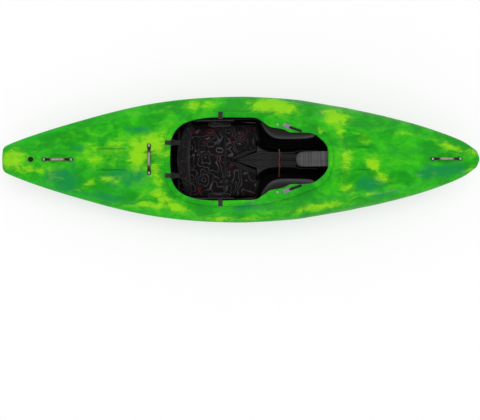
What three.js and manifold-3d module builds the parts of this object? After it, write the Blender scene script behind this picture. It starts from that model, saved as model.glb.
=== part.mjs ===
// Whitewater kayak: a rotomoulded hull with its cockpit rim, deck fittings, seat, braces and footbrace.
// Millimetres. +X points to the bow, +Y to port, +Z up; the origin is under the middle of the hull.
import * as THREE from "three";
import { mergeVertices } from "three/addons/utils/BufferGeometryUtils.js";
import Module from "manifold-3d";

const wasm = await Module();
wasm.setup();

// Driving dimensions
const overall = { length: 2440, beam: 650, height: 347 };
const skin = { wall: 6, rings: 35, sides: 28, innerRings: 24, innerSides: 20 };
const fit = { gap: 0.4, loose: 0.8, overrun: 10, weld: 0.001 };
const bolt = { shank: 3, head: 6.2, headHeight: 4.2, headSide: 1.9, headTop: 4.4, sides: 10, holeSides: 8 };

// Places along the hull from its middle towards the bow, across it from the middle to a side, and up
// from the ground, as shares of the overall length, beam and height.
const alongShares = {
  rimRear: -0.15738, rimFront: 0.19221, sternHandle: -0.38418, bowHandle: 0.4293, securityBar: -0.19045,
  drain: -0.43984, rearGrooveFrom: -0.30615, rearGrooveTo: -0.23402, foreGrooveFrom: 0.23484,
  foreGrooveTo: 0.27377, seatRear: -0.13525, seatFront: 0.04385, consoleRear: -0.01557,
  consoleFront: 0.16598,
  padRear: -0.13033, padFront: -0.03279, lifterRear: -0.03156, lifterApex: -0.02049, lifterFront: 0.03525,
  hipPadRear: -0.06762, hipPadFront: -0.01844, band: -0.11434, ladderRear: -0.10738, ladderFront: 0.06762,
  hipStrap: -0.04057, braceRear: 0.04385, braceFront: 0.15574, braceBolt: 0.07787, ratchet: 0.09836,
  plate: 0.30533, railRear: 0.16393, railBend: 0.2418, bracketRear: 0.18033, bracketFront: 0.21189,
  rearHullBolt: 0.18689, frontHullBolt: 0.20533, pillarRear: 0.11844, pillarFront: 0.26721,
  pillarKnee: 0.1373,
  rampEnd: 0.18648, pillarTop: 0.19262, rearPillarFront: -0.17418,
};
const acrossShares = {
  rim: 0.36769, rearGrooves: 0.08308, foreGrooves: 0.08769, braceOuter: 0.28923,
  braceOuterFront: 0.26462, braceInner: 0.15231, ratchet: 0.24769, rearStrap: 0.12923,
};
const upShares = {
  cockpitCut: 0.6, console: 0.55908, hipPadLow: 0.32277, hipPadHigh: 0.57061, bandBottom: 0.32277,
  bandTop: 0.80403, bandTipBottom: 0.54467, bandTipTop: 0.59366, rail: 0.48588, pillarNose: 0.17867,
  rampTop: 0.87896,
};
const sized = (shares, size) =>
  Object.fromEntries(Object.entries(shares).map(([name, share]) => [name, share * size]));
const along = sized(alongShares, overall.length);
const across = sized(acrossShares, overall.beam);
const upTo = sized(upShares, overall.height);

// Hull lines: share of the length from the stern, then the half-breadth as a share of half the beam,
// and the heights of keel, seam and deck centre as shares of the overall height.
const hullLineShares = [
  [0, 0.135, 0.591, 0.602, 0.617],
  [0.004, 0.19, 0.568, 0.597, 0.631],
  [0.009, 0.22, 0.549, 0.591, 0.638],
  [0.019, 0.254, 0.529, 0.585, 0.633],
  [0.04, 0.32, 0.483, 0.556, 0.612],
  [0.074, 0.414, 0.409, 0.519, 0.588],
  [0.124, 0.537, 0.32, 0.478, 0.565],
  [0.174, 0.647, 0.229, 0.461, 0.585],
  [0.224, 0.75, 0.154, 0.455, 0.611],
  [0.274, 0.837, 0.095, 0.461, 0.64],
  [0.325, 0.907, 0.054, 0.47, 0.658],
  [0.375, 0.955, 0.026, 0.476, 0.671],
  [0.425, 0.984, 0.008, 0.487, 0.712],
  [0.475, 0.998, -0.001, 0.504, 0.761],
  [0.5, 1, -0.003, 0.513, 0.784],
  [0.55, 0.986, -0.004, 0.536, 0.836],
  [0.575, 0.974, -0.003, 0.548, 0.865],
  [0.626, 0.94, 0.01, 0.562, 0.914],
  [0.651, 0.909, 0.023, 0.565, 0.934],
  [0.701, 0.845, 0.048, 0.568, 0.96],
  [0.726, 0.813, 0.066, 0.571, 0.96],
  [0.751, 0.772, 0.094, 0.571, 0.922],
  [0.776, 0.735, 0.124, 0.568, 0.888],
  [0.826, 0.646, 0.187, 0.565, 0.837],
  [0.877, 0.542, 0.278, 0.576, 0.807],
  [0.918, 0.437, 0.378, 0.608, 0.79],
  [0.952, 0.334, 0.483, 0.657, 0.795],
  [0.973, 0.251, 0.576, 0.7, 0.803],
  [0.985, 0.182, 0.634, 0.726, 0.801],
  [0.994, 0.125, 0.68, 0.741, 0.787],
  [0.998, 0.055, 0.718, 0.746, 0.764],
  [1, 0.012, 0.741, 0.746, 0.752],
];
// A cross-section is a superellipse above the seam and a flatter one with soft chines below it.
const sectionShares = { crownPower: 2.4, crownRoot: 2, bottomPower: 3.4, bottomGain: 2.6, bottomRoot: 1.3 };
// The hollow inside starts and ends where the tips close up.
const hollowShares = { stern: 0.024, bow: 0.972 };

// Cockpit rim
const rim = {
  rear: along.rimRear, front: along.rimFront, halfWidth: across.rim, plate: 6, edge: 3, flange: 21, wall: 7,
  skirtDepth: 25, skirtGap: 6, lip: 5, hookLip: 14, steps: 56, searchSteps: 224, root: 5, cut: 6.3,
  slotLength: 78, slotWidth: 12,
};
// Outer edge (x, y) and opening edge (x, y), port side from the rear to the front, as shares of the
// rim's length and half width. The opening narrows at the thigh hooks.
const rimOutlineShares = [
  [0, 0, 0.033, 0],
  [0.004, 0.299, 0.036, 0.256],
  [0.02, 0.545, 0.044, 0.459],
  [0.05, 0.716, 0.068, 0.619],
  [0.098, 0.843, 0.107, 0.743],
  [0.164, 0.933, 0.167, 0.828],
  [0.248, 0.985, 0.248, 0.876],
  [0.344, 1, 0.344, 0.885],
  [0.451, 0.997, 0.451, 0.876],
  [0.534, 0.98, 0.546, 0.859],
  [0.605, 0.948, 0.59, 0.765],
  [0.658, 0.907, 0.629, 0.673],
  [0.705, 0.862, 0.67, 0.643],
  [0.746, 0.817, 0.711, 0.61],
  [0.787, 0.768, 0.746, 0.551],
  [0.84, 0.7, 0.822, 0.542],
  [0.887, 0.64, 0.881, 0.516],
  [0.928, 0.556, 0.919, 0.426],
  [0.966, 0.43, 0.952, 0.31],
  [0.991, 0.231, 0.971, 0.168],
  [1, 0, 0.975, 0],
];
// The rim's top as a share of the overall height, along the rim's length.
const rimRiseShares = [
  [0, 0.683], [0.14, 0.697], [0.237, 0.718], [0.33, 0.748], [0.428, 0.79], [0.523, 0.833],
  [0.619, 0.882], [0.714, 0.919], [0.81, 0.95], [0.905, 0.98], [1, 1],
];
// The thigh hooks' turned-down lips run between these shares of the way round the outline.
const hookShares = { first: 0.2375, last: 0.3875 };

// Deck fittings
const boss = { rise: 2, radius: 12.5, sides: 16 };
const handle = { footRadius: 11, waist: 7, thickness: 5, steps: 16, collar: 0.3, bevel: 1.67 };
// An arch reaches its full rise at this share of the way from its foot to its middle.
const archShare = 0.625;
const sternHandle = { x: along.sternHandle, spacing: 138.8, rise: 11 };
const bowHandle = { x: along.bowHandle, spacing: 139.7, rise: 14 };
const securityBar = {
  x: along.securityBar, spacing: 139.5, rise: 12, footRadius: 11, waist: 8, thickness: 6, bevel: 2,
};
const dish = { length: 92, width: 62, depth: 9, wall: 6, sides: 14 };
const groove = { width: 6, depth: 2.4, steps: 5 };
const rearGrooves = { from: along.rearGrooveFrom, to: along.rearGrooveTo, y: across.rearGrooves };
const foreGrooves = { from: along.foreGrooveFrom, to: along.foreGrooveTo, y: across.foreGrooves };
const drain = {
  x: along.drain, bossRadius: 18, bossRise: 3, headRadius: 14, headHeight: 6.5, slotWidth: 3.4,
  slotDepth: 2.2,
  slotReach: 9.8, shank: 10, shankLength: 14, play: 0.5, gasket: 1.6, gasketWidth: 2, gasketPlay: 0.6,
  sleeveWall: 2.5, sleeveLength: 20,
  flangeRim: 4, flangeThickness: 3, sides: 16, bevel: 1.4,
};

// Seat and centre console, one moulding
const seat = {
  rear: along.seatRear, front: along.seatFront, rimGap: 14.7, shell: 3.2, wingWidth: 14, wallLean: 1.6,
  dish: 4,
  padGap: 0.6,
};
// Along the seat: seat height, half width, wing top and foot half width. Widths are shares of the
// seat's half width and heights of the wing's.
const seatShares = [
  [0, 0.242, 1, 0.333, 1.12],
  [0.151, 0.242, 1, 0.383, 1.14],
  [0.172, 0.242, 1, 0.42, 1.14],
  [0.206, 0.242, 1, 0.786, 1.14],
  [0.4, 0.242, 1, 0.834, 1.14],
  [0.575, 0.242, 1, 0.878, 1.14],
  [0.68, 0.266, 1, 0.902, 1.14],
  [0.735, 0.283, 1, 0.52, 1.14],
  [0.85, 0.308, 0.99, 0.4, 1.13],
  [0.945, 0.325, 0.98, 0.383, 1.12],
  [0.98, 0.315, 0.62, 0.36, 0.75],
  [1, 0.3, 0.3, 0.33, 0.4],
];
// Where the wings' level top starts: a share of the seat's length and of the wing's height.
const wingStartShares = { along: 0.206, height: 0.786 };
const saddle = {
  rear: along.consoleRear, front: along.consoleFront, width: 51, height: upTo.console, rail: 9, inside: 1.4,
  draft: 12, ridge: 3, ridgeHeight: 4, fullRail: 30,
};
// Along the console: rail half width, top, channel depth, the walls' knee height and the foot's half
// width, as shares of the console's greatest width and height.
const consoleShares = [
  [0, 0.08, 0.34, 0, 0.32, 0.3],
  [0.065, 0.18, 0.44, 0.012, 0.33, 0.42],
  [0.18, 0.49, 0.59, 0.04, 0.34, 0.8],
  [0.275, 0.76, 0.69, 0.065, 0.35, 1.1],
  [0.325, 0.84, 0.75, 0.08, 0.34, 1.22],
  [0.4, 0.81, 0.825, 0.093, 0.28, 1.3],
  [0.49, 0.79, 0.887, 0.093, 0.2, 1.35],
  [0.63, 0.79, 0.928, 0.093, 0.155, 1.4],
  [0.725, 0.83, 0.949, 0.093, 0.155, 1.4],
  [0.77, 0.95, 0.96, 0.093, 0.155, 1.5],
  [0.8, 0.97, 0.969, 0.093, 0.155, 1.52],
  [1, 1, 1, 0.093, 0.165, 1.55],
];

// Fabric pads on the seat
const pad = {
  rear: along.padRear, front: along.padFront, side: 6, thickness: 32, rounding: 26, steps: 12, sides: 20,
};
const lifter = {
  rear: along.lifterRear, apex: along.lifterApex, front: along.lifterFront, notchGap: 4, side: 8,
  thickness: 33,
  rounding: 22, lap: 4, steps: 10,
};
const hipPad = {
  rear: along.hipPadRear, front: along.hipPadFront, low: upTo.hipPadLow, high: upTo.hipPadHigh,
  thickness: 24,
  rounding: 14, steps: 13,
};
// A cushion's ring is an oval squared by a power, and its ends are thinner and narrower than its middle.
const cushionShares = {
  power: 0.55, padEnd: 0.35, lifterEnd: 0.4, lifterSide: 0.8, hipEnd: 0.7, hipSide: 0.4,
};

// Backband
const band = {
  centreX: along.band, wrap: 28, bottom: upTo.bandBottom, top: upTo.bandTop, tipBottom: upTo.bandTipBottom,
  tipTop: upTo.bandTipTop, thickness: 31, tipThickness: 12, lean: 43, steps: 12, stepsUp: 6, tabGap: 0.3,
};
// How the band's edges draw in towards its tabs: a stretch of the half width and a power for each edge,
// a power for its thickness, and the height that the rear straps hold it at.
const bandEdgeShares = { low: 1.06, lowPower: 6, top: 1.15, topPower: 1.4, thinPower: 3, strap: 0.78 };
// Share of the height, share of the thickness and share of the backward lean, from the foot to the fin.
const bandProfileShares = [
  [0, 0.35, 0.05], [0.12, 0.85, 0], [0.35, 1, -0.04], [0.6, 1, -0.02],
  [0.76, 0.92, 0.08], [0.88, 0.7, 0.42], [1, 0.22, 1],
];
// The wings and the straps on them rise towards the bow by this share of the hull's height to its length.
const slideShare = 0.96334;
const slideRise = (slideShare * overall.height) / overall.length;
const ladder = { thickness: 3, width: 22, deckGap: 4, rear: along.ladderRear, front: along.ladderFront };

// Webbing over the rim
const webbing = { thickness: 2, width: 23 };
const rearStrap = { y: across.rearStrap, bandGap: 4.5 };
const buckle = { length: 20, width: 31, height: 6, slot: 4.5 };
const hipStrap = { x: along.hipStrap, bend: 2 };

// Thigh braces under the hooks
const brace = {
  rear: along.braceRear, front: along.braceFront, thickness: 9, edge: 4.5, outer: across.braceOuter,
  outerFront: across.braceOuterFront, gap: 3, droop: 14, arch: 4, bossLength: 34, bossWidth: 12,
  bossEnd: 7.2,
  boltX: along.braceBolt, slide: 8, shankLength: 54, innermost: across.braceInner,
  padRise: 1.6, padRadius: 9, steps: 14, stepsAcross: 6, bossSteps: 5,
};
// Where the brace's bolt stands between the hook's lip and the rim's wall.
const braceBoltShare = 0.468;
// Share of the brace's length and its inner edge's distance from the middle, as a share of the innermost.
const braceShares = [
  [0, 1.75], [0.07, 1.46], [0.16, 1.21], [0.27, 1.06], [0.4, 1.01], [0.56, 1], [0.75, 1.01],
  [0.9, 1.04], [1, 1.11],
];

// Ratchet buckles on the hooks
const ratchet = {
  x: along.ratchet, y: across.ratchet, length: 42, width: 22, floor: 2, ear: 2, earLength: 18,
  earHeight: 10,
  pinForward: 8, hubPlay: 0.3, pin: 1.6, barrel: 3, leverLength: 31, leverThickness: 2.6, sides: 10,
  tailWidth: 13, tailThickness: 1.5, tailFront: 76, tailRear: 17, lift: 0.9,
};
// The ratchets point inwards by this share of a full turn.
const headingShare = 1 / 18;

// Footbrace: rails, brackets, plate
const footbrace = {
  plateX: along.plate, plateThickness: 6, travel: 50, plateInset: 14, padThickness: 15, padInset: 34,
  padBevel: 5,
  padStraight: 11.25, railThickness: 4, railHeight: 25, railInset: 48.2, railRear: along.railRear,
  railBend: along.railBend, endInset: 10.5, railZ: upTo.rail, holeRear: 21, holePitch: 30, holeRadius: 4,
  holes: 5,
  landLength: 25, sweepSteps: 7, bracketRear: along.bracketRear, bracketFront: along.bracketFront,
  bracketHeight: 42, lipThickness: 3, lipReach: 5,
};
const hullBolt = { xs: [along.rearHullBolt, along.frontHullBolt], recess: 14, recessDepth: 2.6, length: 29 };

// Foam pillars and the cord on the console
const pillar = {
  play: 4, rear: along.pillarRear, front: along.pillarFront, onConsole: 1.2, noseHeight: upTo.pillarNose,
  rampTop: upTo.rampTop, rampEnd: along.rampEnd, deckFrom: along.pillarTop, footGap: 4, rounding: 26,
  slices: 4,
  kneeX: along.pillarKnee, kneeRise: 18, channelSteps: 3,
};
const rearPillar = { halfWidth: 32, bossGap: 5.5, front: along.rearPillarFront };
const bungee = { x: 204.5, radius: 2.6, sides: 8, steps: 30, knot: 5, knotSides: 6, wave: 1.2 };
// The cord's route across the console from port to starboard, in real places (y, z).
const bungeeRoute = [
  [57, 84], [54, 108], [50.5, 134], [48, 156], [46.6, 170], [43.6, 177.6], [37, 180.2], [31, 180.6],
  [24.6, 170.6],
  [13, 163.6], [0, 165.4], [-13, 163.6], [-24.6, 170.6], [-31, 180.6], [-37, 180.2], [-44, 177.2],
  [-51, 168],
  [-58, 152], [-66, 130], [-76, 108], [-85, 92],
];

// A smooth line through hand-picked rows that never overshoots them: a monotone cubic.
function smoothLine(rows, column) {
  const xs = rows.map((row) => row[0]);
  const ys = rows.map((row) => row[column]);
  const steps = xs.slice(1).map((x, i) => x - xs[i]);
  const slopes = steps.map((step, i) => (ys[i + 1] - ys[i]) / step);
  const tangents = ys.map((_, i) => {
    if (i === 0) return slopes[0];
    if (i === slopes.length) return slopes[i - 1];
    if (slopes[i - 1] * slopes[i] <= 0) return 0;
    const before = 2 * steps[i] + steps[i - 1];
    const after = steps[i] + 2 * steps[i - 1];
    return (before + after) / (before / slopes[i - 1] + after / slopes[i]);
  });
  return (x) => {
    const at = Math.min(Math.max(x, xs[0]), xs[xs.length - 1]);
    const i = Math.min(Math.max(xs.findIndex((known) => known > at) - 1, 0), steps.length - 1);
    const k = at >= xs[xs.length - 1] ? steps.length - 1 : i;
    const u = (at - xs[k]) / steps[k];
    return (
      ys[k] * (1 + 2 * u) * (1 - u) ** 2 + ys[k + 1] * u * u * (3 - 2 * u) +
      steps[k] * (tangents[k] * u * (1 - u) ** 2 - tangents[k + 1] * u * u * (1 - u))
    );
  };
}

const at = (x, y, z) => new THREE.Vector3(x, y, z);
const between = (low, high, share) => low + (high - low) * share;
const eased = (share) => share * share * (3 - 2 * share);

// Triangles of a flat ring, in the ring's own order.
function capOf(ring) {
  const normal = at(0, 0, 0);
  ring.forEach((point, i) => {
    const next = ring[(i + 1) % ring.length];
    normal.x += (point.y - next.y) * (point.z + next.z);
    normal.y += (point.z - next.z) * (point.x + next.x);
    normal.z += (point.x - next.x) * (point.y + next.y);
  });
  const sizes = [Math.abs(normal.x), Math.abs(normal.y), Math.abs(normal.z)];
  const dropped = sizes.indexOf(Math.max(...sizes));
  const flat = ring.map((point) => {
    const kept = point.toArray().filter((_, axis) => axis !== dropped);
    return new THREE.Vector2(kept[0], kept[1]);
  });
  const turning = (a, b, c) => (b.x - a.x) * (c.y - a.y) - (b.y - a.y) * (c.x - a.x);
  const order = Math.sign(THREE.ShapeUtils.area(flat));
  return THREE.ShapeUtils.triangulateShape(flat, []).map(([a, b, c]) =>
    Math.sign(turning(flat[a], flat[b], flat[c])) === order ? [a, b, c] : [a, c, b],
  );
}

// A closed surface over rings of equal count: capped at both ends, or looped back to the first.
function loft(rings, looped = false) {
  const count = rings[0].length;
  const index = [];
  const spans = looped ? rings.length : rings.length - 1;
  for (let r = 0; r < spans; r++) {
    const here = r * count;
    const there = ((r + 1) % rings.length) * count;
    for (let k = 0; k < count; k++) {
      const next = (k + 1) % count;
      index.push(here + k, here + next, there + next, here + k, there + next, there + k);
    }
  }
  if (!looped) {
    const end = (rings.length - 1) * count;
    capOf(rings[0]).forEach(([a, b, c]) => index.push(a, c, b));
    capOf(rings[rings.length - 1]).forEach(([a, b, c]) => index.push(end + a, end + b, end + c));
  }
  const geometry = new THREE.BufferGeometry().setFromPoints(rings.flat());
  geometry.setIndex(index);
  return geometry;
}

// A closed geometry as a solid whose faces point outwards.
function solidOf(geometry) {
  const bare = geometry.index ? geometry.toNonIndexed() : geometry.clone();
  bare.deleteAttribute("normal");
  bare.deleteAttribute("uv");
  const merged = mergeVertices(bare, fit.weld);
  const vertProperties = merged.attributes.position.array;
  const triVerts = new Uint32Array(merged.index.array);
  const made = new wasm.Manifold(new wasm.Mesh({ numProp: 3, vertProperties, triVerts }));
  if (made.volume() > 0) return made;
  const turned = triVerts.map((_, i) => triVerts[i - (i % 3) + [0, 2, 1][i % 3]]);
  return new wasm.Manifold(new wasm.Mesh({ numProp: 3, vertProperties, triVerts: turned }));
}

function geometryOf(solid) {
  const mesh = solid.getMesh();
  const geometry = new THREE.BufferGeometry();
  geometry.setAttribute("position", new THREE.BufferAttribute(mesh.vertProperties, 3));
  geometry.setIndex(new THREE.BufferAttribute(mesh.triVerts, 1));
  return geometry;
}

const lofted = (rings, looped) => solidOf(loft(rings, looped));
const joined = (first, ...rest) => rest.reduce((whole, piece) => whole.add(piece), first);
const cutBy = (first, ...rest) => rest.reduce((whole, piece) => whole.subtract(piece), first);

function boxOf(low, high) {
  const size = high.clone().sub(low);
  const middle = low.clone().add(high).multiplyScalar(1 / 2);
  return solidOf(new THREE.BoxGeometry(size.x, size.y, size.z).translate(middle.x, middle.y, middle.z));
}

// A body of revolution about +Z from a profile of (radius, height) that starts and ends on the axis.
function turned(profile, sides, place = new THREE.Matrix4()) {
  const points = profile.map(([radius, height]) => new THREE.Vector2(radius, height));
  return solidOf(new THREE.LatheGeometry(points, sides).rotateX(Math.PI / 2).applyMatrix4(place));
}

function rod(radius, low, high, sides, place) {
  return turned([[0, low], [radius, low], [radius, high], [0, high]], sides, place);
}

const moved = (x, y, z) => new THREE.Matrix4().makeTranslation(x, y, z);

// A frame at a point whose +Z is the given direction.
function facing(origin, direction) {
  const turn = new THREE.Quaternion().setFromUnitVectors(at(0, 0, 1), direction.clone().normalize());
  return new THREE.Matrix4().compose(origin, turn, at(1, 1, 1));
}

// A flat strip of webbing or metal along a path, its width along the given side direction.
function ribbon(path, side, width, thickness) {
  const rings = path.map((point, i) => {
    const ahead = path[Math.min(i + 1, path.length - 1)].clone().sub(point).normalize();
    const behind = point.clone().sub(path[Math.max(i - 1, 0)]).normalize();
    const run = i === 0 ? ahead : i === path.length - 1 ? behind : ahead.clone().add(behind).normalize();
    const stretch = i === 0 || i === path.length - 1 ? 1 : 1 / Math.max(run.dot(ahead), 1 / 2);
    const normal = side.clone().cross(run).normalize().multiplyScalar((stretch * thickness) / 2);
    const half = side.clone().multiplyScalar(width / 2);
    return [[1, 1], [-1, 1], [-1, -1], [1, -1]].map(([across, up]) =>
      point.clone().addScaledVector(half, across).addScaledVector(normal, up),
    );
  });
  return lofted(rings);
}

// A rounded, slightly squared ring of a cushion in the plane across X.
function cushionRing(x, y, z, halfWidth, halfHeight) {
  return Array.from({ length: pad.sides }, (_, k) => {
    const angle = (2 * Math.PI * k) / pad.sides;
    const round = (value) => Math.sign(value) * Math.abs(value) ** cushionShares.power;
    return at(x, y + halfWidth * round(Math.cos(angle)), z + halfHeight * round(Math.sin(angle)));
  });
}

// Hull surface
const lineAt = [1, 2, 3, 4].map((column) => smoothLine(hullLineShares, column));
const stationOf = (x) => x / overall.length + 1 / 2;
const halfBreadth = (x) => (lineAt[0](stationOf(x)) * overall.beam) / 2;
const keelAt = (x) => lineAt[1](stationOf(x)) * overall.height;
const seamAt = (x) => lineAt[2](stationOf(x)) * overall.height;
const deckLineAt = (x) => lineAt[3](stationOf(x)) * overall.height;
const { crownPower, crownRoot, bottomPower, bottomGain, bottomRoot } = sectionShares;
const crownOf = (share) => Math.max(0, 1 - Math.abs(share) ** crownPower) ** (1 / crownRoot);
const bottomOf = (x, share) => {
  const power = bottomPower + bottomGain * Math.sin(Math.PI * stationOf(x));
  return Math.max(0, 1 - Math.abs(share) ** power) ** (1 / bottomRoot);
};
const deckAt = (x, y) => between(seamAt(x), deckLineAt(x), crownOf(y / halfBreadth(x)));
const bottomAt = (x, y) => between(seamAt(x), keelAt(x), bottomOf(x, y / halfBreadth(x)));

// The section at x, drawn in by an inset, placed at any x.
function hullRing(x, inset, placedAt = x, sides = skin.innerSides) {
  return Array.from({ length: sides }, (_, k) => {
    const angle = (2 * Math.PI * k) / sides;
    const share = Math.sin(angle);
    const top = Math.cos(angle) >= 0;
    const height = top
      ? between(seamAt(x), deckLineAt(x) - inset, crownOf(share))
      : between(seamAt(x), keelAt(x) + inset, bottomOf(x, share));
    return at(placedAt, (halfBreadth(x) - inset) * share, height);
  });
}

// Rings closer together towards both tips.
function hullBody(fromShare, toShare, inset, count, sides) {
  return lofted(
    Array.from({ length: count }, (_, i) => {
      const spread = (1 - Math.cos((Math.PI * i) / (count - 1))) / 2;
      const x = (between(fromShare, toShare, spread) - 1 / 2) * overall.length;
      return hullRing(x, inset, x, sides);
    }),
  );
}

const cavity = (gap) =>
  hullBody(hollowShares.stern, hollowShares.bow, skin.wall + gap, skin.innerRings, skin.innerSides);

// A point on the hull's side at a height, with the way it faces.
function onSide(x, z, side) {
  const widthAt = (px, pz) => {
    const depth = (seamAt(px) - pz) / (seamAt(px) - keelAt(px));
    const power = bottomPower + bottomGain * Math.sin(Math.PI * stationOf(px));
    return halfBreadth(px) * (1 - depth ** bottomRoot) ** (1 / power);
  };
  const step = skin.wall;
  const along = (widthAt(x + step, z) - widthAt(x - step, z)) / (2 * step);
  const up = (widthAt(x, z + step) - widthAt(x, z - step)) / (2 * step);
  return { point: at(x, side * widthAt(x, z), z), out: at(-along, side, -up).normalize() };
}

// Rim
const rimLength = rim.front - rim.rear;
const rimTopShare = smoothLine(rimRiseShares, 1);
const rimTop = (x) => rimTopShare((x - rim.rear) / rimLength) * overall.height;

function rimCurve(columnX, columnY) {
  const port = rimOutlineShares.map((row) =>
    at(rim.rear + row[columnX] * rimLength, row[columnY] * rim.halfWidth, 0),
  );
  const starboard = port.slice(1, -1).reverse().map((point) => at(point.x, -point.y, 0));
  return new THREE.CatmullRomCurve3([...port, ...starboard], true, "centripetal");
}
const rimOuter = rimCurve(0, 1);
const rimOpening = rimCurve(2, 3);

// The outline a distance inside the rim's outer edge.
function insideRim(step, distance) {
  const share = (((step / rim.steps) % 1) + 1) % 1;
  const run = rimOuter.getTangent(share);
  return rimOuter.getPoint(share).add(at(run.y, -run.x, 0).multiplyScalar(distance));
}

function rimFlange() {
  const rings = Array.from({ length: rim.steps }, (_, i) => {
    const outer = rimOuter.getPoint(i / rim.steps);
    const inner = rimOpening.getPoint(i / rim.steps);
    const out = outer.clone().sub(inner).normalize();
    const topIn = rimTop(inner.x);
    const topOut = rimTop(outer.x);
    const skirt = Math.max(topOut - rim.skirtDepth, deckAt(outer.x, outer.y) + rim.skirtGap);
    const low = Math.min(skirt, topOut - rim.plate - rim.edge);
    const shoulder = outer.clone().addScaledVector(out, -rim.edge);
    const inside = outer.clone().addScaledVector(out, -rim.lip);
    return [
      at(inner.x, inner.y, topIn),
      at(shoulder.x, shoulder.y, topOut),
      at(outer.x, outer.y, topOut - rim.edge),
      at(outer.x, outer.y, low),
      at(inside.x, inside.y, low),
      at(inside.x, inside.y, topOut - rim.plate),
      at(inner.x, inner.y, topIn - rim.plate),
    ];
  });
  return lofted(rings, true);
}

function rimWall() {
  const rings = Array.from({ length: rim.steps }, (_, i) => {
    const out = insideRim(i, rim.flange);
    const into = insideRim(i, rim.flange + rim.wall);
    const top = rimTop(out.x) - rim.plate / 2;
    const low = deckAt(out.x, out.y) - rim.root;
    return [at(out.x, out.y, top), at(out.x, out.y, low), at(into.x, into.y, low), at(into.x, into.y, top)];
  });
  return lofted(rings, true);
}

// The turned-down inner edge of one thigh hook.
function hookLip(side) {
  const from = Math.round(hookShares.first * rim.steps);
  const to = Math.round(hookShares.last * rim.steps);
  const rings = [];
  for (let i = from; i <= to; i++) {
    const inner = rimOpening.getPoint(i / rim.steps);
    const outward = rimOuter.getPoint(i / rim.steps).sub(inner).normalize();
    const inside = inner.clone().addScaledVector(outward, rim.lip);
    const top = rimTop(inner.x) - rim.plate / 2;
    const low = rimTop(inner.x) - rim.hookLip;
    rings.push(
      [[inner, top], [inside, top], [inside, low], [inner, low]].map(([p, z]) => at(p.x, side * p.y, z)),
    );
  }
  return lofted(rings);
}

function cockpitCut() {
  const low = [];
  const high = [];
  for (let i = 0; i < rim.steps; i++) {
    const point = insideRim(i, rim.flange + rim.cut);
    low.push(at(point.x, point.y, upTo.cockpitCut));
    high.push(at(point.x, point.y, overall.height + fit.overrun));
  }
  return { low, high };
}

// The lever's hub turns just above the strap in the ratchet.
const pinHeight = ratchet.floor + fit.gap / 2 + ratchet.tailThickness + ratchet.hubPlay + ratchet.barrel;

// Ratchet frame: origin on the rim's top, +X along the strap, +Z away from the rim.
function ratchetFrame(side) {
  const heading = 2 * Math.PI * headingShare;
  const step = ratchet.length / 2;
  const slope = (rimTop(ratchet.x + step) - rimTop(ratchet.x - step)) / (2 * step);
  const forward = at(Math.cos(heading), -side * Math.sin(heading), slope * Math.cos(heading)).normalize();
  const across = at(-forward.y, forward.x, 0).normalize();
  const up = forward.clone().cross(across).normalize();
  const frame = new THREE.Matrix4().makeBasis(forward, across, up);
  return frame.setPosition(ratchet.x, side * ratchet.y, rimTop(ratchet.x) + ratchet.lift);
}

function framedBox(frame, low, high) {
  const size = high.clone().sub(low);
  const middle = low.clone().add(high).multiplyScalar(1 / 2);
  const box = new THREE.BoxGeometry(size.x, size.y, size.z).translate(middle.x, middle.y, middle.z);
  return solidOf(box.applyMatrix4(frame));
}

function strapSlot(side) {
  const depth = rim.hookLip + fit.overrun;
  return framedBox(
    ratchetFrame(side),
    at(-ratchet.length / 2, -rim.slotWidth / 2, -depth),
    at(rim.slotLength - ratchet.length / 2, rim.slotWidth / 2, fit.overrun),
  );
}

// Fittings on the deck stand on flat bosses.
const bossTop = (x, y) => deckAt(x, y) + boss.rise;
const footPlaces = [
  ...[-1, 1].map((end) => ({ x: sternHandle.x + (end * sternHandle.spacing) / 2, y: 0 })),
  ...[-1, 1].map((end) => ({ x: bowHandle.x + (end * bowHandle.spacing) / 2, y: 0 })),
  ...[-1, 1].map((end) => ({ x: securityBar.x, y: (end * securityBar.spacing) / 2 })),
];
const drainTop = deckAt(drain.x, 0) + drain.bossRise;
const drainBore = drain.shank + drain.play;
const drainSleeve = drainBore + drain.sleeveWall;

// A scooped finger dish below a handle, with its own wall under it.
function fingerDish(x) {
  const centre = deckAt(x, 0);
  const bowl = (grow) =>
    solidOf(
      new THREE.SphereGeometry(1, dish.sides, dish.sides / 2)
        .scale(dish.length / 2 + grow, dish.width / 2 + grow, dish.depth + grow)
        .translate(x, 0, centre),
    );
  return { bowl: bowl(0), wall: bowl(dish.wall) };
}

function deckGroove(span, side) {
  const rings = Array.from({ length: groove.steps }, (_, i) => {
    const x = between(span.from, span.to, i / (groove.steps - 1));
    const surface = deckAt(x, span.y);
    const half = groove.width / 2;
    return [
      at(x, side * span.y - half, surface + fit.overrun),
      at(x, side * span.y + half, surface + fit.overrun),
      at(x, side * span.y, surface - groove.depth),
    ];
  });
  return lofted(rings);
}

// The brace bolts stand between the hooks' lips and the rim's wall.
const hookLipY = rimEdgeY(brace.boltX, rimOpening) + rim.lip;
const wallInsideY = rimEdgeY(brace.boltX, rimOuter) - rim.flange - rim.wall;
const braceBoltY = between(hookLipY, wallInsideY, braceBoltShare);
const braceTop = rimTop(brace.boltX) + brace.padRise;

const sidesOf = [["left", 1], ["right", -1]];

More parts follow.
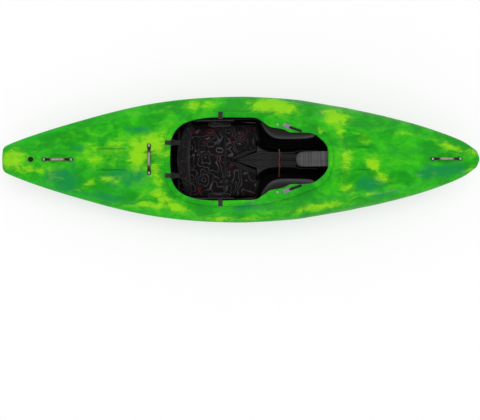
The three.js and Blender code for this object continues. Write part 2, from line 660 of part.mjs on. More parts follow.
function hullShell() {
  const outer = hullBody(0, 1, 0, skin.rings, skin.sides);
  const inner = cavity(0);
  const cut = cockpitCut();
  const dishes = [sternHandle.x, bowHandle.x].map(fingerDish);
  let shell = outer.subtract(inner);
  dishes.forEach(({ bowl, wall }) => {
    shell = shell.add(wall.intersect(outer)).subtract(bowl);
  });
  footPlaces.forEach(({ x, y }) => {
    const top = bossTop(x, y);
    shell = shell.add(rod(boss.radius, top - boss.rise - skin.wall, top, boss.sides, moved(x, y, 0)));
  });
  const atDrain = moved(drain.x, 0, 0);
  const bossLow = drainTop - drain.bossRise - skin.wall;
  shell = shell.add(rod(drain.bossRadius, bossLow, drainTop, drain.sides, atDrain));
  shell = shell.subtract(lofted([cut.low, cut.high]));
  const bracePads = sidesOf.map(([, side]) =>
    rod(
      brace.padRadius, braceTop - rim.plate, braceTop, boss.sides, moved(brace.boltX, side * braceBoltY, 0),
    ),
  );
  shell = joined(shell, rimWall(), rimFlange(), ...sidesOf.map(([, side]) => hookLip(side)), ...bracePads);
  const floorCut = boxOf(
    at(-overall.length, -overall.beam, -overall.height),
    at(overall.length, overall.beam, 0),
  );
  const holes = footPlaces.map(({ x, y }) => {
    const top = bossTop(x, y);
    const low = top - boss.rise - skin.wall - fit.overrun;
    return rod(bolt.shank + fit.gap, low, top + fit.overrun, bolt.holeSides, moved(x, y, 0));
  });
  const braceHoles = sidesOf.map(([, side]) =>
    rod(
      bolt.shank + fit.gap, rimTop(brace.boltX) - rim.hookLip, rimTop(brace.boltX) + fit.overrun,
      bolt.holeSides, moved(brace.boltX, side * braceBoltY, 0),
    ),
  );
  const recesses = sidesOf.flatMap(([, side]) =>
    hullBolt.xs.flatMap((x) => {
      const { point, out } = onSide(x, footbrace.railZ, side);
      const frame = facing(point, out);
      return [
        rod(hullBolt.recess, -hullBolt.recessDepth, fit.overrun, boss.sides, frame),
        rod(bolt.shank + fit.gap, -hullBolt.length, fit.overrun, bolt.holeSides, frame),
      ];
    }),
  );
  const grooves = [rearGrooves, foreGrooves].flatMap((span) =>
    sidesOf.map(([, side]) => deckGroove(span, side)));
  return cutBy(
    shell,
    floorCut,
    rod(
      drainSleeve + fit.gap, drainTop - drain.sleeveLength - fit.overrun, drainTop + fit.overrun, drain.sides,
      atDrain,
    ),
    ...holes, ...braceHoles, ...recesses, ...grooves,
    ...sidesOf.map(([, side]) => strapSlot(side)),
  );
}

// A carrying loop or bar: round flat feet on two bosses, an arch between them and a hole at each foot.
function grabLoop(piece, shape, alongY) {
  const half = piece.spacing / 2;
  const reach = half + shape.footRadius;
  const bossAt = (end) => (alongY ? bossTop(piece.x, end * half) : bossTop(piece.x + end * half, 0));
  const footAt = (end) => bossAt(end) + fit.gap;
  const stations = [];
  for (let i = 0; i <= shape.steps; i++) stations.push(-Math.cos((Math.PI * i) / shape.steps) * reach);
  const rings = stations.map((s) => {
    const fromFoot = Math.abs(Math.abs(s) - half);
    const disc = Math.sqrt(Math.max(shape.footRadius ** 2 - fromFoot ** 2, shape.collar ** 2));
    const inArch = Math.abs(s) < half;
    const width = inArch ? Math.max(disc, shape.waist) : disc;
    const inner = half - shape.footRadius;
    const clear = Math.min(Math.max((inner - Math.abs(s)) / inner, 0), 1);
    const rise = piece.rise * Math.sin((Math.PI / 2) * Math.min(clear / archShare, 1)) ** 2;
    const level = between(footAt(-1), footAt(1), eased(Math.min(Math.max((s / half + 1) / 2, 0), 1)));
    const bevel = Math.min(shape.bevel, width / 2);
    const outline = [
      [-width + bevel, 0], [width - bevel, 0], [width, bevel], [width, shape.thickness - bevel],
      [width - bevel, shape.thickness], [-width + bevel, shape.thickness],
      [-width, shape.thickness - bevel], [-width, bevel],
    ];
    return outline.map(([w, h]) =>
      alongY ? at(piece.x + w, s, level + rise + h) : at(piece.x + s, w, level + rise + h),
    );
  });
  const holes = [-1, 1].map((end) =>
    rod(
      bolt.shank + fit.gap, footAt(end) - fit.overrun, footAt(end) + fit.overrun, bolt.sides,
      alongY ? moved(piece.x, end * half, 0) : moved(piece.x + end * half, 0, 0),
    ),
  );
  return cutBy(lofted(rings), ...holes);
}

// A pan-head bolt along +Z of a frame, its head's seat at the origin.
function panBolt(length, frame) {
  const { shank, head, headHeight, headSide, headTop } = bolt;
  return turned(
    [
      [0, -length], [shank, -length], [shank, 0], [head, 0], [head, headSide],
      [headTop, headHeight], [0, headHeight],
    ],
    bolt.sides,
    frame,
  );
}

function drainPlug() {
  const seatZ = drainTop + drain.gasket + 2 * fit.gap;
  const { shank, shankLength, headRadius, headHeight, bevel } = drain;
  const body = turned(
    [
      [0, -shankLength], [shank - bevel, -shankLength], [shank, bevel - shankLength], [shank, 0], [headRadius, 0],
      [headRadius, headHeight - bevel], [headRadius - bevel, headHeight], [0, headHeight],
    ],
    drain.sides,
    moved(drain.x, 0, seatZ),
  );
  const slot = boxOf(
    at(drain.x - drain.slotWidth / 2, -drain.slotReach, seatZ + headHeight - drain.slotDepth),
    at(drain.x + drain.slotWidth / 2, drain.slotReach, seatZ + headHeight + fit.overrun),
  );
  return body.subtract(slot);
}

function ringOf(inside, outside, low, high, sides, place) {
  const bore = rod(inside, low - fit.overrun, high + fit.overrun, sides, place);
  return rod(outside, low, high, sides, place).subtract(bore);
}

function drainGasket() {
  const low = drainTop + fit.gap;
  const inside = drain.shank + drain.gasketPlay;
  return ringOf(inside, inside + drain.gasketWidth, low, low + drain.gasket, drain.sides, moved(drain.x, 0, 0));
}

function drainInsert() {
  const place = moved(drain.x, 0, 0);
  const under = deckAt(drain.x, 0) - skin.wall - drain.flangeThickness;
  const body = joined(
    rod(drainSleeve, drainTop - drain.sleeveLength, drainTop, drain.sides, place),
    rod(drainSleeve + drain.flangeRim, under - drain.flangeThickness, under, drain.sides, place),
  );
  return body.subtract(
    rod(drainBore, drainTop - drain.sleeveLength - fit.overrun, drainTop + fit.overrun, drain.sides, place),
  );
}

// Seat and console: two hollow forms with open undersides, joined. A form's inner skin is the same
// form drawn in by the shell's thickness all round.
const seatLength = seat.front - seat.rear;
// The seat and the hip straps fit between the rim's opening and its wall.
const hipRoom = Math.min(
  rimEdgeY(hipStrap.x, rimOpening) - fit.loose, rimEdgeY(hipStrap.x, rimOuter) - rim.flange - rim.wall,
);
const seatHalf = hipRoom - seat.rimGap;
const ladderY = seatHalf + seat.wingWidth / 2;
const seatColumns = [1, 2, 3, 4].map((column) => smoothLine(seatShares, column));
// The wings' top edge carries the sliding straps, which pass under the deck at their front ends.
const wingStartX = seat.rear + wingStartShares.along * seatLength;
const strapTop = deckAt(ladder.front, ladderY) - skin.wall - ladder.deckGap;
const wingStartZ = strapTop - ladder.width - fit.loose - (ladder.front - wingStartX) * slideRise;
const seatWing = wingStartZ / wingStartShares.height;
const wingTopAt = (x) => wingStartZ + (x - wingStartX) * slideRise;
function seatAt(x) {
  const share = (x - seat.rear) / seatLength;
  const [height, half, wing, foot] = seatColumns.map((column) => column(share));
  return {
    height: height * seatWing,
    half: half * seatHalf,
    wing: Math.min(wing * seatWing, wingTopAt(x)),
    foot: foot * seatHalf,
  };
}
const seatSurface = (x) => seatAt(x).height;

const consoleLength = saddle.front - saddle.rear;
const consoleColumns = [1, 2, 3, 4, 5].map((column) => smoothLine(consoleShares, column));
function consoleAt(x) {
  const share = (x - saddle.rear) / consoleLength;
  const [half, top, channel, knee, foot] = consoleColumns.map((column) => column(share));
  return {
    half: half * saddle.width,
    top: top * saddle.height,
    floor: (top - channel) * saddle.height,
    knee: knee * saddle.height,
    foot: foot * saddle.width,
  };
}

// Half sections from the middle out to the foot, as (y, z).
function seatHalfSection(x, inset) {
  const { height, half, wing, foot } = seatAt(x);
  const middle = inset > 0 ? height - seat.dish - inset : height;
  return [
    [half / 4, middle],
    [half / 2, height - seat.dish - inset],
    [half - seat.wallLean + inset, height - inset - (inset > 0 ? seat.dish : 0)],
    [half + inset, wing - inset],
    [half + seat.wingWidth - inset, wing - inset],
    [foot - inset, -fit.overrun],
  ];
}

function consoleHalfSection(x, inset) {
  const { half, top, floor, knee, foot } = consoleAt(x);
  const squeeze = Math.min(half / saddle.fullRail, 1);
  const kneeHalf = half + saddle.draft * squeeze;
  const drawn = Math.max(half - inset, inset);
  const outside = [[Math.max(kneeHalf - inset, inset), knee], [Math.max(foot - inset, inset), -fit.overrun]];
  if (inset > 0) return [[drawn / 2, floor - inset], [drawn, floor - inset], ...outside];
  const railInside = half - saddle.rail * squeeze;
  return [
    [saddle.ridge * squeeze, floor + Math.min(saddle.ridgeHeight, top - floor)],
    [2 * saddle.ridge * squeeze, floor],
    [railInside - saddle.inside * squeeze, floor],
    [railInside, top],
    [half, top],
    ...outside,
  ];
}

function mirroredForm(halfSection, shape, rows, inset) {
  const rings = rows.map((share) => {
    const x = between(shape.rear, shape.front, share);
    const half = halfSection(x, inset);
    const along = Math.min(Math.max(x, shape.rear + inset), shape.front - inset);
    return [...half.map(([y, z]) => [-y, z]).reverse(), ...half].map(([y, z]) => at(along, y, z));
  });
  return lofted(rings);
}

function seatPan() {
  const seatRows = seatShares.map((row) => row[0]);
  const consoleRows = consoleShares.map((row) => row[0]);
  const forms = (inset) => joined(
    mirroredForm(seatHalfSection, seat, seatRows, inset),
    mirroredForm(consoleHalfSection, saddle, consoleRows, inset),
  );
  return forms(0).subtract(forms(seat.shell)).intersect(cavity(fit.gap));
}

// How far a cushion's rounded end has opened at a distance from it.
const opened = (edge, rounding) => Math.sqrt(1 - (1 - Math.min(Math.max(edge / rounding, 0), 1)) ** 2);

// The rear seat pad: crowned, with sides drawn in towards both ends.
function seatPad() {
  const rings = Array.from({ length: pad.steps }, (_, i) => {
    const share = i / (pad.steps - 1);
    const x = between(pad.rear, pad.front, share);
    const edge = Math.min(x - pad.rear, pad.front - x);
    const draw = opened(edge, pad.rounding);
    const halfHeight = (pad.thickness / 2) * between(cushionShares.padEnd, 1, draw);
    const base = seatSurface(x) + seat.padGap + pad.thickness / 2;
    return cushionRing(x, 0, base, seatHalf - pad.side - pad.rounding * (1 - draw), halfHeight);
  });
  return lofted(rings);
}

// The front pad: two lobes that run together behind, with a V notch between them.
function lifterPad() {
  const notch = consoleAt(lifter.front).half + saddle.draft + lifter.notchGap;
  const lobe = (side) => {
    const rings = Array.from({ length: lifter.steps }, (_, i) => {
      const share = i / (lifter.steps - 1);
      const x = between(lifter.rear, lifter.front, share);
      const edge = Math.min(x - lifter.rear, lifter.front - x);
      const draw = opened(edge, lifter.rounding);
      const inner = Math.max((notch * (x - lifter.apex)) / (lifter.front - lifter.apex), -lifter.lap);
      const outer = seatHalf - lifter.side - lifter.rounding * (1 - draw);
      const base = seatSurface(x) + seat.padGap + lifter.thickness / 2;
      const narrow = ((outer - inner) / 2) * between(cushionShares.lifterSide, 1, draw);
      const halfHeight = (lifter.thickness / 2) * between(cushionShares.lifterEnd, 1, draw);
      return cushionRing(x, (side * (inner + outer)) / 2, base, narrow, halfHeight);
    });
    return lofted(rings);
  };
  return joined(lobe(1), lobe(-1));
}

function hipPadSolid(side) {
  const rings = Array.from({ length: hipPad.steps }, (_, i) => {
    const x = between(hipPad.rear, hipPad.front, i / (hipPad.steps - 1));
    const edge = Math.min(x - hipPad.rear, hipPad.front - x);
    const draw = opened(edge, hipPad.rounding);
    const y = seatHalf - fit.loose - hipPad.thickness / 2;
    const halfHeight = ((hipPad.high - hipPad.low) / 2) * between(cushionShares.hipEnd, 1, draw);
    const halfWidth = (hipPad.thickness / 2) * between(cushionShares.hipSide, 1, draw);
    return cushionRing(x, side * y, (hipPad.high + hipPad.low) / 2, halfWidth, halfHeight);
  });
  return lofted(rings);
}

// Backband: a waist band that leans back into a fin over the rear rim and narrows to two strap tabs.
const bandHeights = smoothLine(bandProfileShares, 1);
const bandLean = smoothLine(bandProfileShares, 2);
const bandTip = ladderY - ladder.thickness / 2 - band.tabGap;
function bandCentre(y, share) {
  const edge = bandEdgeShares;
  const out = Math.abs(y) / bandTip;
  const bottom = between(band.bottom, band.tipBottom, Math.min(out * edge.low, 1) ** edge.lowPower);
  const top = between(band.top, band.tipTop, Math.min(out * edge.top, 1) ** edge.topPower);
  const lean = band.lean * bandLean(share) * (1 - out ** 2);
  const thickness = between(band.thickness, band.tipThickness, out ** edge.thinPower) * bandHeights(share);
  return { x: band.centreX + band.wrap * out ** 2 - lean, z: between(bottom, top, share), thickness };
}

function backband() {
  const rings = [];
  for (let j = -band.steps; j <= band.steps; j++) {
    const y = bandTip * Math.sin((Math.PI / 2) * (j / band.steps));
    const shares = Array.from({ length: band.stepsUp + 1 }, (_, i) => i / band.stepsUp);
    const points = shares.map((share) => bandCentre(y, share));
    const rise = points.map((point, i) => {
      const before = points[Math.max(i - 1, 0)];
      const after = points[Math.min(i + 1, points.length - 1)];
      return new THREE.Vector2(after.x - before.x, after.z - before.z).normalize();
    });
    const face = (way) => points.map(({ x, z, thickness }, i) =>
      at(x + (way * rise[i].y * thickness) / 2, y, z - (way * rise[i].x * thickness) / 2));
    rings.push([...face(1), ...face(-1).reverse()]);
  }
  return lofted(rings);
}

// Toothed strap from the band's tab forward under the rim, on the wing's top edge.
function ladderStrap(side) {
  const half = ladder.width / 2;
  const rings = [ladder.rear, ladder.front].map((x) => {
    const middle = wingTopAt(x) + half + fit.loose;
    return [[-1, -1], [1, -1], [1, 1], [-1, 1]].map(([out, up]) =>
      at(x, side * (ladderY + (out * ladder.thickness) / 2), middle + up * half));
  });
  return lofted(rings);
}

// Webbing from the rim's rear edge over the flange to the back of the band.
function rearStrapSolid(side) {
  const y = rearStrap.y;
  const outer = rimEdgeX(y - webbing.width / 2, rimOuter, true);
  const opening = rimEdgeX(y, rimOpening, true);
  const above = webbing.thickness / 2 + fit.loose;
  const top = (x) => rimTop(x) + above;
  const bandBack = bandCentre(y, bandEdgeShares.strap);
  const end = bandBack.x - bandBack.thickness / 2 - rearStrap.bandGap;
  const path = [
    [outer - above, top(outer) - rim.plate - above],
    [outer - above, top(outer) - rim.edge],
    [outer + rim.edge, top(outer)],
    [opening, top(opening)],
    [opening + buckle.length / 2, top(opening) + above],
    [end, bandBack.z],
  ].map(([x, z]) => at(x, side * y, z));
  return ribbon(path, at(0, 1, 0), webbing.width, webbing.thickness);
}

// Where an outline crosses a distance y, at its rear or its front.
function rimEdgeX(y, curve, rear) {
  const points = curve.getPoints(rim.searchSteps).filter((point) => point.y >= 0 && (point.x < 0) === rear);
  return points.reduce((best, point) => (Math.abs(point.y - y) < Math.abs(best.y - y) ? point : best)).x;
}

function rimEdgeY(x, curve) {
  const points = curve.getPoints(rim.searchSteps).filter((point) => point.y >= 0);
  return points.reduce((best, point) => (Math.abs(point.x - x) < Math.abs(best.x - x) ? point : best)).y;
}

// Sliding buckle on the rear strap: a frame with a bar, lying on the webbing.
function strapBuckle(side) {
  const opening = rimEdgeX(rearStrap.y, rimOpening, true);
  const x = opening + buckle.length / 2;
  const low = rimTop(opening) + webbing.thickness * 3 / 2 + 2 * fit.loose + fit.gap;
  const y = side * rearStrap.y;
  const body = boxOf(
    at(x - buckle.length / 2, y - buckle.width / 2, low),
    at(x + buckle.length / 2, y + buckle.width / 2, low + buckle.height),
  );
  const slots = [-1, 1].map((end) => {
    const middle = x + (end * buckle.length) / 4;
    return boxOf(
      at(middle - buckle.slot / 2, y - webbing.width / 2, low - fit.overrun),
      at(middle + buckle.slot / 2, y + webbing.width / 2, low + buckle.height + fit.overrun),
    );
  });
  return cutBy(body, ...slots);
}

// Webbing over the rim beside the hips, hanging to the seat's wing.
function hipStrapSolid(side) {
  const x = hipStrap.x;
  const above = webbing.thickness / 2 + fit.loose;
  const outer = rimEdgeY(x, rimOuter) + above;
  const inner = hipRoom - above - fit.loose;
  const top = rimTop(x) + above;
  const slope = (rimTop(x + webbing.width) - rimTop(x - webbing.width)) / (2 * webbing.width);
  const low = seatAt(x).wing + 2 * fit.loose + webbing.thickness;
  const skirt = Math.max(rimTop(x) - rim.skirtDepth, deckAt(x, outer) + rim.skirtGap);
  const path = [
    [outer, skirt + fit.loose], [outer, top - rim.edge], [outer - rim.edge, top], [inner + hipStrap.bend, top],
    [inner, top - hipStrap.bend], [inner, low],
  ].map(([y, z]) => at(x, side * y, z));
  return ribbon(path, at(1, 0, slope).normalize(), webbing.width, webbing.thickness);
}

// Thigh brace: a curved pad under the hook, hung from a slotted boss.
const braceInner = smoothLine(braceShares, 1);
const braceLength = brace.front - brace.rear;
function thighBrace(side) {
  const rings = Array.from({ length: brace.steps }, (_, i) => {
    const share = i / (brace.steps - 1);
    const x = brace.rear + braceLength * share;
    const inner = braceInner(share) * brace.innermost;
    const outer = between(brace.outer, brace.outerFront, share);
    const high = deckAt(x, outer) - skin.wall - brace.gap;
    const top = Array.from({ length: brace.stepsAcross }, (_, k) => {
      const inwards = k / (brace.stepsAcross - 1);
      const arch = brace.arch * Math.sin(Math.PI * inwards);
      return [between(outer, inner, inwards), high - brace.droop * inwards ** 2 + arch * inwards];
    });
    const last = brace.stepsAcross - 1;
    const thickness = (k) => (k === 0 || k === last ? brace.edge : brace.thickness);
    const under = top.map(([y, z], k) => [y, z - thickness(k)]).reverse();
    return [...top, ...under].map(([y, z]) => at(x, side * y, z));
  });
  const from = brace.boltX - brace.bossLength / 2;
  const bossRings = Array.from({ length: brace.bossSteps }, (_, i) => {
    const x = from + (brace.bossLength * i) / (brace.bossSteps - 1);
    const high = rimTop(x) - rim.plate - 2 * fit.loose;
    const low = deckAt(x, braceBoltY) - skin.wall - brace.gap - brace.thickness;
    const half = (i === 0 || i === brace.bossSteps - 1 ? brace.bossEnd : brace.bossWidth) / 2;
    return [[-1, low], [1, low], [1, high], [-1, high]].map(([out, z]) =>
      at(x, side * (braceBoltY + out * half), z));
  });
  const slotHalf = brace.slide + bolt.shank + fit.gap;
  const slot = boxOf(
    at(brace.boltX - slotHalf, side * braceBoltY - bolt.shank - fit.gap, 0),
    at(brace.boltX + slotHalf, side * braceBoltY + bolt.shank + fit.gap, overall.height),
  );
  return cutBy(joined(lofted(rings), lofted(bossRings)), slot);
}

function ratchetBase(side) {
  const frame = ratchetFrame(side);
  const { length, width, floor, ear, earLength, earHeight, pinForward, pin } = ratchet;
  const ears = [-1, 1].map((out) => {
    const y = out * (width / 2 - ear / 2);
    return framedBox(
      frame, at(pinForward - earLength / 2, y - ear / 2, 0),
      at(pinForward + earLength / 2, y + ear / 2, earHeight),
    );
  });
  const plate = framedBox(frame, at(-length / 2, -width / 2, 0), at(length / 2, width / 2, floor));
  return cutBy(joined(plate, ...ears), pinAcross(pin + fit.gap / 2, width, frame));
}

function pinAcross(radius, length, frame) {
  const turn = new THREE.Matrix4().makeRotationX(Math.PI / 2).setPosition(ratchet.pinForward, 0, pinHeight);
  const half = length / 2 + fit.loose;
  return rod(radius, -half, half, ratchet.sides, frame.clone().multiply(turn));
}

function ratchetPin(side) {
  return pinAcross(ratchet.pin, ratchet.width, ratchetFrame(side));
}

function ratchetLever(side) {
  const frame = ratchetFrame(side);
  const { width, ear, pinForward, pin, barrel, leverLength, leverThickness } = ratchet;
  const half = width / 2 - ear - fit.gap;
  const arm = framedBox(
    frame,
    at(pinForward - leverLength, -half, pinHeight + fit.gap),
    at(pinForward, half, pinHeight + fit.gap + leverThickness),
  );
  const lip = framedBox(
    frame,
    at(pinForward - leverLength, -half, pinHeight + fit.gap),
    at(pinForward - leverLength + barrel, half, pinHeight + fit.gap + 2 * leverThickness),
  );
  const hub = pinAcross(barrel, 2 * (half - fit.loose), frame);
  return cutBy(joined(hub, arm, lip), pinAcross(pin + fit.gap / 2, width, frame));
}

// The toothed tail that comes up through the slot and lies in the ratchet.
function strapTail(side) {
  const frame = ratchetFrame(side);
  const low = ratchet.floor + fit.gap / 2;
  return framedBox(
    frame,
    at(-ratchet.tailRear, -ratchet.tailWidth / 2, low),
    at(ratchet.tailFront, ratchet.tailWidth / 2, low + ratchet.tailThickness),
  );
}

// The plate takes the hull's section where its travel ends, and the rails follow the hull's side.
const plateLimit = footbrace.plateX + footbrace.travel + footbrace.plateThickness;
const railY = halfBreadth(footbrace.bracketFront) - footbrace.railInset;
const railEndY = halfBreadth(plateLimit) - footbrace.plateInset - footbrace.endInset;

// Footbrace rails: a straight, drilled part in the bracket and an inward sweep to the plate.
function footRail(side) {
  const f = footbrace;
  const end = f.plateX - fit.gap;
  const sweep = Array.from({ length: f.sweepSteps }, (_, i) => {
    const share = i / (f.sweepSteps - 1);
    const y = between(railY, railEndY, eased(share));
    return at(between(f.railBend, end - f.landLength, share), side * y, f.railZ);
  });
  const path = [at(f.railRear, side * railY, f.railZ), ...sweep, at(end, side * railEndY, f.railZ)];
  const holes = Array.from({ length: f.holes }, (_, i) => {
    const place = facing(at(f.railRear + f.holeRear + f.holePitch * i, side * railY, f.railZ), at(0, 1, 0));
    return rod(f.holeRadius, -f.railThickness, f.railThickness, bolt.holeSides, place);
  });
  return cutBy(ribbon(path, at(0, 0, 1), f.railHeight, f.railThickness), ...holes);
}

function footBracket(side) {
  const f = footbrace;
  const inner = railY - f.railThickness / 2 - fit.loose;
  const outer = railY + f.railThickness / 2 + fit.loose;
  const halfRail = f.railHeight / 2 + fit.loose;
  const span = (low, high, lowZ, highZ, grow = 0) => {
    const ys = [side * low, side * high].sort((a, b) => a - b);
    return boxOf(at(f.bracketRear - grow, ys[0], lowZ), at(f.bracketFront + grow, ys[1], highZ));
  };
  const half = f.bracketHeight / 2;
  const body = span(inner - f.lipThickness, halfBreadth(f.bracketRear), f.railZ - half, f.railZ + half);
  const fitted = body.intersect(cavity(fit.gap));
  const channel = span(inner, outer, f.railZ - halfRail, f.railZ + halfRail, fit.overrun);
  const halfMouth = halfRail - f.lipReach;
  const mouth = span(
    inner - 2 * f.lipThickness, inner + fit.loose, f.railZ - halfMouth, f.railZ + halfMouth, fit.overrun,
  );
  const holes = hullBolt.xs.map((x) => {
    const { point, out } = onSide(x, f.railZ, side);
    const depth = hullBolt.length + fit.loose;
    return rod(bolt.shank + fit.gap, -depth, fit.overrun, bolt.holeSides, facing(point, out));
  });
  return cutBy(fitted, channel, mouth, ...holes);
}

function footbraceBolt(x, side) {
  const { point, out } = onSide(x, footbrace.railZ, side);
  const seatPoint = point.clone().addScaledVector(out, fit.gap - hullBolt.recessDepth);
  return panBolt(hullBolt.length - hullBolt.recessDepth, facing(seatPoint, out));
}

function footPlate() {
  const f = footbrace;
  return lofted([
    hullRing(plateLimit, f.plateInset, f.plateX),
    hullRing(plateLimit, f.plateInset, f.plateX + f.plateThickness),
  ]);
}

function footPad() {
  const f = footbrace;
  const back = f.plateX - fit.gap;
  return lofted([
    hullRing(plateLimit, f.padInset, back),
    hullRing(plateLimit, f.padInset, back - f.padStraight),
    hullRing(plateLimit, f.padInset + f.padBevel, back - f.padThickness),
  ]);
}

// Front pillar: stands in the console's channel, then on the hull's floor, up to the deck. Its rear
// end is rounded in plan, so the outline is lofted across the width.
function frontPillar() {
  const p = pillar;
  const channelAt = (x) => consoleAt(x).floor + saddle.ridgeHeight + p.onConsole;
  const rings = [];
  const halfWidth = saddle.width - saddle.rail - p.play;
  const high = overall.height + fit.overrun;
  for (let j = -p.slices; j <= p.slices; j++) {
    const share = Math.sin((Math.PI / 2) * (j / p.slices));
    const rear = p.rear + p.rounding * (1 - Math.sqrt(1 - share ** 2));
    const nose = channelAt(rear) + p.noseHeight;
    const onSeat = Array.from({ length: p.channelSteps + 1 }, (_, i) =>
      between(rear, saddle.front, i / p.channelSteps));
    const outline = [
      ...onSeat.map((x) => [x, channelAt(x)]), [saddle.front + p.footGap, channelAt(saddle.front)],
      [saddle.front + p.footGap, -fit.overrun], [p.front, -fit.overrun], [p.front, high], [p.deckFrom, high],
      [p.rampEnd, p.rampTop], [p.kneeX, nose + p.kneeRise], [rear + skin.wall, nose], [rear, nose - skin.wall],
    ];
    rings.push(outline.map(([x, z]) => at(x, share * halfWidth, z)));
  }
  return lofted(rings).intersect(cavity(fit.gap));
}

function backPillar() {
  const p = rearPillar;
  const rear = sternHandle.x + sternHandle.spacing / 2 + boss.radius + p.bossGap;
  const block = boxOf(at(rear, -p.halfWidth, 0), at(p.front, p.halfWidth, overall.height));
  return block.intersect(cavity(fit.gap));
}

// Red cord over the console, with a knot at each end.
function consoleBungee() {
  const route = bungeeRoute.map(([y, z], i) => at(bungee.x + bungee.wave * Math.sin(i), y, z));
  const path = new THREE.CatmullRomCurve3(route, false, "centripetal");
  const outline = new THREE.Shape(
    Array.from({ length: bungee.sides }, (_, k) => {
      const angle = (2 * Math.PI * k) / bungee.sides;
      return new THREE.Vector2(Math.cos(angle), Math.sin(angle)).multiplyScalar(bungee.radius);
    }),
  );
  const cord = solidOf(new THREE.ExtrudeGeometry(outline, { steps: bungee.steps, extrudePath: path }));
  const knots = [route[0], route[route.length - 1]].map((end) =>
    solidOf(
      new THREE.SphereGeometry(bungee.knot, bungee.knotSides, bungee.knotSides).translate(end.x, end.y, end.z),
    ),
  );
  return joined(cord, ...knots);
}

// Finishes
const finish = (color, roughness, metalness = 0) =>
  new THREE.MeshStandardMaterial({ color, roughness, metalness });
const polyethylene = () => finish(0x1fb41f, 0.42);
const blackPlastic = () => finish(0x151515, 0.38);
const blackWebbing = () => finish(0x0e0e10, 0.85);
const fabric = () => finish(0x2a2628, 0.9);
const foam = () => finish(0x5c5c60, 0.95);
const steel = () => finish(0xc8cacc, 0.25, 1);
const aluminium = () => finish(0x9a9da0, 0.4, 1);
const rubber = () => finish(0x0c0c0c, 0.7);
const redCord = () => finish(0xa01418, 0.8);

const kayak = new THREE.Group();
function node(name, solid, material) {
  const mesh = new THREE.Mesh(geometryOf(solid), material);
  mesh.name = name;
  kayak.add(mesh);
}

node("hull_shell", hullShell(), polyethylene());

node("stern_grab_handle", grabLoop(sternHandle, handle, false), blackPlastic());
node("bow_grab_handle", grabLoop(bowHandle, handle, false), blackPlastic());
node("rear_security_bar", grabLoop(securityBar, { ...handle, ...securityBar }, true), blackPlastic());
const boltNames = [
  "stern_handle_bolt_rear", "stern_handle_bolt_front", "bow_handle_bolt_rear", "bow_handle_bolt_front",
  "security_bar_bolt_right", "security_bar_bolt_left",
];
boltNames.forEach((name, i) => {
  const { x, y } = footPlaces[i];
  const thickness = name.startsWith("security") ? securityBar.thickness : handle.thickness;
  const seatZ = bossTop(x, y) + thickness + 2 * fit.gap;
  const length = thickness + boss.rise + skin.wall + fit.overrun;
  node(name, panBolt(length, moved(x, y, seatZ)), steel());
});
node("drain_plug", drainPlug(), blackPlastic());
node("drain_gasket", drainGasket(), rubber());
node("drain_insert", drainInsert(), blackPlastic());

node("seat_pan", seatPan(), blackPlastic());
node("seat_pad", seatPad(), fabric());
node("leg_lifter_pad", lifterPad(), fabric());
node("backband", backband(), fabric());
node("front_foam_pillar", frontPillar(), foam());
node("rear_foam_pillar", backPillar(), foam());
node("console_bungee", consoleBungee(), redCord());
node("footbrace_plate", footPlate(), blackPlastic());
node("footbrace_pad", footPad(), foam());

for (const [word, side] of sidesOf) {
  node(`hip_pad_${word}`, hipPadSolid(side), fabric());
  node(`ladder_strap_${word}`, ladderStrap(side), blackPlastic());
  node(`rear_strap_${word}`, rearStrapSolid(side), blackWebbing());
  node(`rear_strap_buckle_${word}`, strapBuckle(side), blackPlastic());
  node(`hip_strap_${word}`, hipStrapSolid(side), blackWebbing());
  node(`thigh_brace_${word}`, thighBrace(side), blackPlastic());
  const braceSeat = braceTop + fit.gap;
  const bracePlace = moved(brace.boltX, side * braceBoltY, braceSeat);
  node(`thigh_brace_bolt_${word}`, panBolt(brace.shankLength, bracePlace), steel());
  node(`ratchet_base_${word}`, ratchetBase(side), steel());
  node(`ratchet_lever_${word}`, ratchetLever(side), steel());
  node(`ratchet_pin_${word}`, ratchetPin(side), steel());
  node(`strap_tail_${word}`, strapTail(side), blackPlastic());
  node(`footbrace_bracket_${word}`, footBracket(side), blackPlastic());
  node(`footbrace_rail_${word}`, footRail(side), aluminium());
  hullBolt.xs.forEach((x, i) => {
    node(`footbrace_bolt_${word}_${["rear", "front"][i]}`, footbraceBolt(x, side), steel());
  });
}

export default kayak;
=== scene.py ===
"""Looks of a whitewater kayak: hull and coaming, seat, padded fabric, webbing, fittings, floor and light.

Shapes are worked out in millimetres in the kayak's own frame: +X to the bow, +Y to port, +Z up.
"""

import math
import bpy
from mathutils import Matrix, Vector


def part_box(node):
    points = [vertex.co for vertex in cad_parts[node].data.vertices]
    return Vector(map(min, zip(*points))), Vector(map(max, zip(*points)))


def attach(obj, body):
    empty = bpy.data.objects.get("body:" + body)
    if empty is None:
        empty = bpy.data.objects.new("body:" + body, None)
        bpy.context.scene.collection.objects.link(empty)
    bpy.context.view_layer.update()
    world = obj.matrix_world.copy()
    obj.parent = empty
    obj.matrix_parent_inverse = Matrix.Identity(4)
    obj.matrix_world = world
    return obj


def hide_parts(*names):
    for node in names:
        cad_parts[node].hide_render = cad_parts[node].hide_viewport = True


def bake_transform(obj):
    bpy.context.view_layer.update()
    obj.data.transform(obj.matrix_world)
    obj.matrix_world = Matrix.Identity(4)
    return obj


bl_info = {
    "name": "Whitewater kayak finish",
    "version": (1, 0, 0),
    "blender": (4, 5, 0),
    "location": "View3D > Sidebar > Kayak",
    "description": "Surfaces, fabric, webbing and materials of a whitewater kayak",
    "category": "Object",
}

import bmesh
import bpy
import numpy as np
from bpy.props import FloatProperty, FloatVectorProperty, PointerProperty

